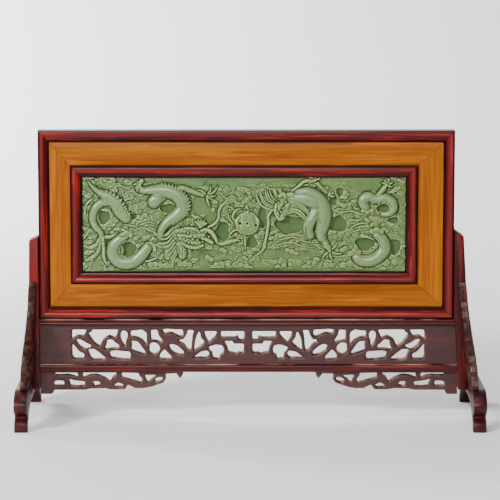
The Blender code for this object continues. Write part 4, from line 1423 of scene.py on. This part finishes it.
        # Painted shade where a point lies below its neighbours, painted highlight where it stands above them.
        shade = np.where(local < 0.0, 0.52, 0.18) * local
        shade += np.where(crisp < 0.0, 0.26, 0.24) * crisp * (1.0 - 0.6 * polish)
        sunk = np.clip(1.0 - heights / 1.2, 0.0, 1.0)
        carving = 0.43 + 0.10 * np.clip(heights / 9.0, 0.0, 1.0) + shade
        return np.clip(carving, 0.0, 1.0), polish - 0.6 * sunk, sunk

    def slab_mesh(self, relief: ReliefField, front: np.ndarray, back: float,
                  middle: Vector) -> bpy.types.Mesh:
        """Close the carved face with its sides and back.

        Args:
            relief: the grid.
            front: Y of the carved face at each grid point.
            back: Y of the slab's back.
            middle: the slab's middle.

        Returns:
            The closed mesh.
        """
        across, up = np.meshgrid(relief.across * MM + middle.x, relief.up * MM + middle.z)
        points = np.stack([across, front, up], axis=-1).reshape(-1, 3)
        index = np.arange(front.size).reshape(front.shape)
        quads = np.stack([index[:-1, :-1], index[:-1, 1:], index[1:, 1:], index[1:, :-1]], axis=-1)
        rim = np.concatenate([index[0, :-1], index[:-1, -1], index[-1, :0:-1], index[:0:-1, 0]])
        back_points = points[rim] * (1.0, 0.0, 1.0) + (0.0, back, 0.0)
        ring = len(points) + np.arange(len(rim))
        sides = np.stack([np.roll(rim, -1), rim, ring, np.roll(ring, -1)], axis=1)
        faces = np.concatenate([quads.reshape(-1, 4), sides]).tolist() + [ring[::-1].tolist()]
        return plain_mesh("panel_blank", np.concatenate([points, back_points]).tolist(), faces)


# ------------------------------------------------------------------------------------------- frame


class Side(Enum):
    """The lengths of a border, numbered in the order of a rectangle's four numbers."""

    LEFT = 0
    BOTTOM = 1
    RIGHT = 2
    TOP = 3


@dataclass
class FrameBorders:
    """The mitred mouldings and mat boards round the panel, and the back board.

    A section's rows are (share of the width from the outer edge, share of the depth below the crest).
    """

    finishes: Finishes
    outer: tuple[Point, ...] = (
        (0.0, 0.30), (0.02, 0.10), (0.07, 0.02), (0.14, -0.005), (0.24, 0.0), (0.36, 0.0), (0.46, 0.035),
        (0.55, 0.12), (0.66, 0.20), (0.78, 0.29), (0.85, 0.345), (0.865, 0.30), (0.89, 0.265), (0.93, 0.262),
        (0.96, 0.30), (0.975, 0.40), (1.0, 0.50))
    inner: tuple[Point, ...] = (
        (0.0, 0.36), (0.02, 0.22), (0.08, 0.10), (0.17, 0.02), (0.27, 0.0), (0.38, 0.015), (0.50, 0.08),
        (0.62, 0.20), (0.74, 0.30), (0.84, 0.345), (0.90, 0.36), (0.95, 0.42), (1.0, 0.58))
    mat: tuple[Point, ...] = (
        (0.0, 0.07), (0.008, 0.02), (0.02, 0.0), (0.25, 0.0), (0.5, 0.0), (0.75, 0.0), (0.98, 0.0),
        (0.992, 0.02), (1.0, 0.07))
    back_shade: float = 0.24

    def build(self) -> None:
        """Build every length of the three borders and finish the plain back board."""
        for prefix, section, depth, wood in (("outer_moulding", self.outer, 0.0110, Wood.ROSEWOOD),
                                             ("mat_board", self.mat, 0.0060, Wood.GOLDEN),
                                             ("inner_moulding", self.inner, 0.0100, Wood.ROSEWOOD)):
            for side in (Side.TOP, Side.BOTTOM, Side.LEFT, Side.RIGHT):
                self.length(prefix, side, section, depth, wood)
        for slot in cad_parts["back_board"].material_slots:
            slot.material = self.finishes.wood(Wood.BACK).material

    def length(self, prefix: str, side: Side, section: Sequence[Point], depth: float, wood: Wood) -> None:
        """Build one mitred length inside the box of its CAD node.

        Args:
            prefix: name of the border.
            side: which of the four lengths.
            section: rows of the section.
            depth: distance that a share of one stands for.
            wood: its finish.
        """
        left, bottom, right, top = boxes = [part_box(f"{prefix}_{each.name.lower()}") for each in Side]
        outline = (left[0].x, bottom[0].z, right[1].x, top[1].z)
        opening = (left[1].x, bottom[1].z, right[0].x, top[0].z)
        trim = top[0].x - left[0].x
        low, high = boxes[side.value]
        upright = side in (Side.LEFT, Side.RIGHT)
        first, last = (1, 3) if upright else (0, 2)
        start, width = outline[side.value], opening[side.value] - outline[side.value]
        points = [(low.y + max(0.0, drop) * depth, start + share * width) for share, drop in section]
        points = [(high.y, start), *points, (high.y, start + width)]
        dress = self.finishes.wood(wood, Grain.UPRIGHT if upright else Grain.ACROSS)
        node = f"{prefix}_{side.name.lower()}"
        slopes = ((opening[first] - outline[first]) / width, (opening[last] - outline[last]) / width)
        length = MouldedLength(f"{node}_piece", points, (outline[first] + trim, outline[last] - trim),
                               slopes, start, upright, dress.material)
        mesh = length.build(self.finishes.length_tree)
        places = [vertex.co for vertex in mesh.vertices]
        # The across share places the painted edge shade and crest highlight; back faces get a fixed share of
        # that painted light.
        store(mesh, "across", [self.back_shade if at.y > high.y - 0.0001
                               else ((at.x if upright else at.z) - start) / width for at in places])
        make_piece(mesh, dress, node, 24.0)


# ------------------------------------------------------------------------------------------- stand


APRON_OPENINGS: dict[str, Ring] = {
    "corner_gap": [(221.5, 111.5), (203, 111.5), (205.5, 107.5), (207.5, 103.5), (215, 105), (222, 100)],
    "leaf": [(217, 98.5), (212.5, 100), (205.5, 95.5), (197.5, 91.5), (198.5, 89), (205.5, 86.5),
             (212.5, 91.5)],
    "low_corner": [(221.5, 94), (212.5, 83.5), (206, 80.5), (207.5, 75), (219.5, 75), (221.5, 78.5)],
    "under_stem": [(202, 86.5), (194, 87), (187.5, 82), (180, 76), (180.5, 74), (195, 74),
                   (198.5, 76.5), (200.5, 83)],
    "over_loop": [(196, 111.5), (163.5, 111.5), (165, 107.5), (167.5, 101), (175, 104.5), (183, 100),
                  (187, 90.5), (194, 95.5), (201.5, 107), (197, 108.5)],
    "in_loop": [(178, 98), (172, 99.5), (166, 94), (162.5, 91.5), (163.5, 88), (173, 88),
                (178.5, 86.5), (180.5, 88), (178, 92.5)],
    "long_foot": [(174.5, 83.5), (168.5, 85), (149.5, 83.5), (148, 79.5), (149.5, 74), (160.5, 74.5),
                  (173, 76.5)],
    "narrow_leaf": [(159.5, 109), (156, 110.5), (152, 108), (152, 103), (154, 97.5), (154.5, 90),
                    (158.5, 95.5), (161, 103)],
    "over_arch": [(148, 110), (133.5, 111.5), (128, 107.5), (128, 92.5), (132.5, 98.5), (140.5, 102.5),
                  (148, 103)],
    "under_arch": [(147, 97.5), (139.5, 96.5), (133.5, 89), (129, 82), (131, 80.5), (139.5, 83.5),
                   (147, 86), (146, 92.5)],
    "boot": [(122.5, 111), (114.5, 111.5), (113, 104.5), (108, 97.5), (109.5, 96), (116.5, 98),
             (122, 98.5)],
    "bean": [(123.5, 94), (117.5, 95.5), (113, 92.5), (111, 88), (113, 83), (118.5, 80), (124.5, 83.5)],
    "small_peak": [(105.5, 86.5), (97, 77.5), (97, 74), (111.5, 75), (111, 80.5)],
    "canopy": [(108.5, 111), (104, 112.5), (82.5, 111.5), (82, 104.5), (85.5, 103), (97, 108.5),
               (105.5, 106.5)],
    "bird": [(76, 111), (68.5, 111), (70.5, 103.5), (72, 86), (75.5, 86), (81, 94), (87, 96), (86, 99),
             (81, 99), (77, 106)],
    "blade": [(61, 108.5), (59.5, 101), (55, 96), (61, 90), (68, 85), (67, 94), (65.5, 102),
              (62.5, 108.5)],
    "slipper": [(100, 91.5), (95.5, 93.5), (88.5, 90.5), (81, 83.5), (82, 79.5), (90, 81), (97, 85)],
    "fin": [(69.5, 76), (59.5, 83.5), (51, 85), (49, 80), (52.5, 76), (61, 76.5)],
    "drop": [(55, 109.5), (39.5, 109.5), (40.5, 104.5), (49.5, 95.5), (51, 98.5), (54, 103.5)],
    "cap": [(50, 89.5), (40.5, 92.5), (33, 91.5), (31, 87.5), (31.5, 81.5), (36, 80), (36.5, 74.5),
            (44.5, 76), (45, 82.5), (48, 84)],
    "upper_fret": [(34.5, 109.5), (5, 109.5), (5.5, 99), (12, 99), (12.5, 104), (16.5, 102), (34, 102)],
    "lower_fret": [(30, 97), (19.5, 97), (18.5, 93.5), (5.5, 93.5), (6, 82.5), (13, 83), (16, 81),
                   (19.5, 83), (24.5, 83), (26.5, 90)],
}
BRACKET_OUTLINE: Ring = [
    (83, 58.4), (84, 53.5), (87, 49), (91, 53.5), (92, 55.5), (105.5, 55), (105, 48.5), (108.5, 43.5),
    (123.5, 38.5), (133.5, 36.5), (143.5, 36.5), (153.5, 41), (156, 36.5), (158, 35), (174.5, 35),
    (182, 36.5), (186.5, 36.5), (201, 36), (207, 34.5), (246.5, 34.5), (246.5, 32.5), (249, 29.5)]
BRACKET_OPENINGS: dict[str, Ring] = {
    "end_slot": [(246, 56.5), (216.5, 56.5), (216, 50.5), (222, 53), (229.5, 54.5), (238.5, 54),
                 (244.5, 54)],
    "end_low": [(246, 45), (242, 46.5), (234, 46), (233.5, 40.5), (246, 40.5)],
    "low_leaf": [(227.5, 48.5), (219.5, 46.5), (207.5, 45), (208, 40.5), (217.5, 39.5), (225.5, 40.5)],
    "long_wave": [(210, 56.5), (168, 56.5), (167.5, 54.5), (172.5, 51.5), (175.5, 45.5), (182, 50.5),
                  (192, 54.5), (201, 54), (210, 50.5)],
    "eye": [(197, 45.5), (190, 45.5), (187, 41.5), (195.5, 39.5)],
    "mid_wave": [(161, 56.5), (139.5, 56), (139, 52.5), (135.5, 49), (136.5, 44), (144.5, 46.5),
                 (160.5, 51)],
    "ring": [(170.5, 41), (165.5, 44), (159, 41.5), (160, 38.5), (170, 39)],
    "wedge": [(132, 53.5), (118.5, 53.5), (119, 51.5), (124, 48.5), (128, 44.5), (129.5, 46.5)],
    "tip_ring": [(119.5, 48.5), (114, 51), (109.5, 50.5), (110, 46.5), (117.5, 44.5)],
}
SPANDREL_OUTLINE: Ring = [
    (0, 174), (4, 174), (5, 169), (8, 168), (9, 154), (7, 150), (9, 144), (14, 139), (16, 132),
    (22, 126), (26, 119), (34, 114), (40, 106), (48, 102), (54, 95), (61, 91), (63, 84), (68, 80),
    (71, 73), (69, 66), (72, 61), (74, 55), (74, 51), (0, 51)]
SPANDREL_OPENINGS: dict[str, Ring] = {
    "tip_drop": [(4, 140), (8, 141), (12, 132), (12, 123), (6, 120), (4, 128)],
    "upper_leaf": [(5, 114), (14, 117), (20, 118), (27, 112), (33, 106), (25, 101), (14, 106)],
    "stem_slot": [(5, 106), (11, 100), (19, 95), (21, 88), (12, 83), (5, 86)],
    "lower_leaf": [(28, 96), (38, 99), (48, 93), (56, 86), (50, 80), (38, 78), (29, 84)],
    "heel": [(6, 77), (14, 76), (23, 79), (27, 71), (25, 62), (15, 58), (6, 60)],
    "toe": [(34, 71), (44, 73), (60, 76), (65, 70), (62, 62), (48, 57), (35, 60)],
}


@dataclass
class Apron:
    """The two rails, the pierced board between them and the corner brackets.

    A rail's rows are (Y of the front face, share of the height from the top).
    """

    finishes: Finishes
    board_middle: float = -2.6
    bracket_middle: float = -1.2
    lean: float = 0.0424
    end_gap: float = 0.1
    margin: float = 1.5
    scroll_reach: float = 225.0
    bracket_top: float = 57.0
    bracket_block: float = 247.5
    upper: tuple[Point, ...] = (
        (-0.0132, 0.0), (-0.0140, 0.03), (-0.0149, 0.10), (-0.0154, 0.19), (-0.0150, 0.32), (-0.0136, 0.42),
        (-0.0130, 0.50), (-0.0129, 0.58), (-0.0132, 0.66), (-0.0133, 0.76), (-0.0128, 0.86), (-0.0110, 0.95),
        (-0.0106, 1.0))
    lower: tuple[Point, ...] = (
        (-0.0072, 0.0), (-0.0100, 0.03), (-0.0122, 0.10), (-0.0133, 0.17), (-0.0136, 0.26), (-0.0135, 0.38),
        (-0.0131, 0.46), (-0.0122, 0.51), (-0.0122, 0.62), (-0.0124, 0.80), (-0.0122, 0.90), (-0.0116, 0.96),
        (-0.0110, 1.0))

    def build(self) -> None:
        """Build the apron's pieces."""
        self.rail("upper_rail", self.upper)
        self.rail("lower_rail", self.lower)
        self.board()
        for side, sign in SIDES:
            self.bracket(side, sign)

    def rail(self, node: str, section: Sequence[Point]) -> None:
        """Build a moulded rail between the posts.

        Args:
            node: the CAD node it stands for.
            section: its rows.
        """
        low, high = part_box(node)
        height = high.z - low.z
        face = [(depth, high.z - share * height) for depth, share in section]
        profile = face + [(-depth, z) for depth, z in reversed(face)]
        dress = self.finishes.wood(Wood.RAIL)
        ends = (low.x + self.end_gap * MM, high.x - self.end_gap * MM)
        length = MouldedLength(f"{node}_piece", profile, ends, (0.0, -self.lean), low.z, False,
                               dress.material)
        mesh = length.build(self.finishes.length_tree)
        # The rails' top front edge gets the painted highlight line.
        store(mesh, "worn_edge", [0.7 if vert.co.y < 0.0 and vert.co.z > high.z - 0.05 * height else 0.0
                                  for vert in mesh.vertices])
        make_piece(mesh, dress, node, 26.0)

    def board(self) -> None:
        """Build the pierced scroll board; its plain margins stay flat."""
        low, high = (1000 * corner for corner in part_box("pierced_board"))
        left, right = low.x + self.end_gap, high.x - self.end_gap
        outline = [(left, low.z), (right, low.z), (right - self.lean * (high.z - low.z), high.z),
                   (left, high.z)]
        openings = [[(self.board_middle + sign * a, b) for a, b in ring[::sign]]
                    for ring in APRON_OPENINGS.values() for sign in (1, -1)]
        plate = CarvedPlate(
            outline, openings, 0.5 * (high.y - low.y), lambda a, b, d: (a * MM, d * MM, b * MM),
            carved=lambda at: ((at[:, 1] > low.z + self.margin) & (at[:, 1] < high.z - self.margin)
                               & (np.abs(at[:, 0] - self.board_middle) < self.scroll_reach)))
        make_piece(plate.build("pierced_board"), self.finishes.wood(Wood.APRON), "pierced_board", 50.0)

    def bracket(self, side: str, sign: int) -> None:
        """Build one corner bracket; its top edge and end block stay flat.

        Args:
            side: which end of the stand.
            sign: -1 at the left, 1 at the right.
        """
        node = f"corner_bracket_{side}"
        low, high = (1000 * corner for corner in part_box(node))
        shift = sign * self.bracket_middle
        outer = max(abs(low.x), abs(high.x)) - self.end_gap
        lean = self.lean * (high.z - low.z) if sign > 0 else 0.0
        outline, *openings = ([(a + shift, b) for a, b in ring]
                              for ring in (BRACKET_OUTLINE, *BRACKET_OPENINGS.values()))
        outline += [(outer, outline[-1][1]), (outer - lean, outline[0][1])]
        plate = CarvedPlate(outline, openings, 0.5 * (high.y - low.y),
                            lambda a, b, d: (sign * a * MM, d * MM, b * MM), 1.8, 1.5, 1.4,
                            carved=lambda at: (at[:, 1] < self.bracket_top) & (at[:, 0] < self.bracket_block),
                            spacing=0.9)
        make_piece(plate.build(node), self.finishes.wood(Wood.APRON), node, 50.0)


@dataclass
class Standards:
    """The posts, feet and standing spandrels at both ends."""

    finishes: Finishes
    spandrel_half: float = 0.0052

    def build(self) -> None:
        """Build both ends of the stand."""
        for side, sign in SIDES:
            self.post(f"post_{side}")
            self.foot(f"foot_{side}")
            for face, sign_y in (("front", -1), ("rear", 1)):
                self.spandrel(f"spandrel_{face}_{side}", sign, sign_y)

    def post(self, node: str) -> None:
        """Copy a post's solid, with its doubled points merged and flat faces joined, and round its edges.

        Args:
            node: the post's CAD node.
        """
        builder = opened(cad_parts[node].data)
        bmesh.ops.remove_doubles(builder, verts=builder.verts, dist=1e-6)
        bmesh.ops.dissolve_limit(builder, angle_limit=math.radians(0.5), verts=builder.verts,
                                 edges=builder.edges)
        mesh = bevelled_mesh(f"{node}_piece", mesh_from_bmesh(f"{node}_square", builder), 0.0011)
        make_piece(mesh, self.finishes.wood(Wood.POST, Grain.UPRIGHT), node, 40.0, f"{node}_piece.001")

    def foot(self, node: str) -> None:
        """Build a foot with a smooth scroll profile and eased edges.

        Args:
            node: the foot's CAD node.
        """
        low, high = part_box(node)
        top = high.z
        upper = smooth_rows([(0.0780, top), (0.0865, top - 0.0004), (0.0950, top - 0.0032),
                             (0.1020, top - 0.0072), (0.1066, top - 0.0118), (high.y, top - 0.0170),
                             (0.1066, 0.0281), (0.1008, 0.0229), (0.0948, 0.0199)], 5)
        notch = smooth_rows([(0.0936, 0.0184), (0.0937, 0.0169), (0.0965, 0.0152), (0.1004, 0.0132),
                             (0.1023, 0.0104)], 4)
        arch = smooth_rows([(0.0905, 0.0), (0.0896, 0.0060), (0.0848, 0.0126), (0.0760, 0.0186),
                            (0.0645, 0.0236), (0.0542, 0.0266)], 5)
        crown = smooth_rows([(0.0528, 0.0290), (0.0440, 0.0297), (0.0300, 0.0302), (0.0120, 0.0313)], 4)
        rows = np.concatenate([upper, notch, [(0.1025, 0.0)], arch, crown])
        half = [(min(y, high.y), max(z, 0.0)) for y, z in rows]
        outline = half + [(-y, z) for y, z in reversed(half)]
        rings = [[(x, y, z) for y, z in outline] for x in (low.x, high.x)]
        mesh = bevelled_mesh(f"{node}_piece", lofted_mesh(f"{node}_square", rings), 0.0007, 2)
        make_piece(mesh, self.finishes.wood(Wood.STAND, Grain.DEEP), node, 40.0)

    def spandrel(self, node: str, sign_x: int, sign_y: int) -> None:
        """Build one pierced spandrel inside the box of its CAD node.

        Args:
            node: the CAD node.
            sign_x: -1 at the left, 1 at the right.
            sign_y: -1 in front, 1 behind.
        """
        low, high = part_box(node)
        near = min(abs(low.y), abs(high.y))
        at_tip, at_foot = sorted((abs(low.x), abs(high.x)))
        at_tip, at_foot = at_tip + self.spandrel_half, at_foot - self.spandrel_half

        def place(out: float, height: float, depth: float) -> tuple[float, float, float]:
            """Lean the board outwards as it goes down."""
            rise = (height * MM - low.z) / (high.z - low.z)
            across = at_foot + (at_tip - at_foot) * rise + depth * MM
            return sign_x * across, sign_y * (near + out * MM), height * MM

        openings = list(SPANDREL_OPENINGS.values())
        # The 0.35 weakens the painted edge shade and highlights on the spandrels.
        plate = CarvedPlate(SPANDREL_OUTLINE, openings, 1000 * self.spandrel_half, place, 2.8, 1.9, 2.6,
                            0.35, spacing=1.2)
        make_piece(plate.build(node), self.finishes.wood(Wood.STAND, Grain.UPRIGHT), node, 50.0)


# ------------------------------------------------------------------------------------------ studio


@dataclass(frozen=True)
class SoftBox:
    """One square soft light and where it stands."""

    name: str
    place: tuple[float, float, float]
    aim: tuple[float, float, float]
    size: float
    power: float


@dataclass
class Studio:
    """Pale floor and backdrop, soft lights and the camera."""

    focus: tuple[float, float, float] = (-0.0004, 0.0, 0.2121)
    camera_place: tuple[float, float, float] = (-0.0004, -3.0, 0.6112)
    focal_length: float = 173.77
    paper: float = 0.95
    sky: float = 0.12
    sweep_start: float = 1.4
    sweep_radius: float = 5.0
    boxes: tuple[SoftBox, ...] = (
        SoftBox("key", (-2.3, -2.5, 1.85), (0.0, 0.0, 0.2), 0.65, 158.0),
        SoftBox("fill", (2.4, -2.6, 1.65), (0.0, 0.0, 0.2), 1.2, 12.0),
        SoftBox("front", (-0.2, -2.9, 1.35), (0.0, 0.0, 0.1), 1.0, 60.0),
        SoftBox("overhead", (0.0, -0.30, 2.6), (0.0, 0.0, 0.2), 1.0, 16.0),
        SoftBox("backdrop_wash", (-2.5, 2.0, 1.8), (-0.3, 4.6, 0.4), 2.4, 420.0))

    def build(self) -> None:
        """Set the whole studio."""
        camera = bpy.data.cameras.new("camera")
        camera.lens = self.focal_length
        camera.sensor_width = 36.0
        camera.clip_end = 80.0
        bpy.context.scene.camera = self.aimed("camera", camera, self.camera_place, self.focus)
        for box in self.boxes:
            lamp = bpy.data.lights.new(box.name, "AREA")
            lamp.shape = "SQUARE"
            lamp.size = box.size
            lamp.energy = box.power
            self.aimed(box.name, lamp, box.place, box.aim)
        world = bpy.data.worlds.new("studio_sky")
        world.use_nodes = True
        colour, strength = world.node_tree.nodes["Background"].inputs[:2]
        colour.default_value = (0.97, 0.98, 1.0, 1.0)
        strength.default_value = self.sky
        bpy.context.scene.world = world
        self.backdrop()

    def aimed(self, name: str, data: bpy.types.ID, place: Sequence[float],
              aim: Sequence[float]) -> bpy.types.Object:
        """Stand a camera or lamp in its place and turn it towards its aim.

        Args:
            name: the object's name.
            data: the camera or lamp.
            place: where it stands.
            aim: the point it looks at.

        Returns:
            The new object.
        """
        made = place_object(name, data)
        made.location = place
        made.rotation_euler = (Vector(aim) - Vector(place)).to_track_quat("-Z", "Y").to_euler()
        return made

    def backdrop(self) -> None:
        """Lay one sheet that is floor in front and rises behind in a wide sweep."""
        start, radius = self.sweep_start, self.sweep_radius
        turns = [math.radians(90.0 * step / 32) for step in range(1, 33)]
        rows = [(-0.9, 0.0), (start, 0.0)]
        rows += [(start + radius * math.sin(turn), radius * (1.0 - math.cos(turn))) for turn in turns]
        rows.append((start + radius, 9.0))
        count = len(rows)
        mesh = plain_mesh("backdrop", [(x, y, z) for x in (-14.0, 14.0) for y, z in rows],
                          [(i, count + i, count + i + 1, i + 1) for i in range(count - 1)])
        mesh.shade_smooth()
        made, tree, shader = new_material("paper_sweep")
        paper = tuple(self.paper * tint for tint in (1.0, 1.0, 1.004))
        brighter = tuple(self.paper * tint for tint in (1.02, 1.02, 1.024))
        tone = tree.ramp(tree.noise(tree.place(), 0.9), (0.3, paper), (0.7, brighter))
        tree.feed(shader, {"Base Color": tone, "Roughness": 0.95, "Specular IOR Level": 0.1})
        mesh.materials.append(made)
        place_object("backdrop", mesh)


def main() -> None:
    """Dress the whole screen."""
    logging.basicConfig(level=logging.INFO, format="%(message)s")
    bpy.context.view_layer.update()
    finishes = Finishes()
    Studio().build()
    StonePanel(finishes).build()
    FrameBorders(finishes).build()
    Apron(finishes).build()
    Standards(finishes).build()


if __name__ == "__main__":
    main()
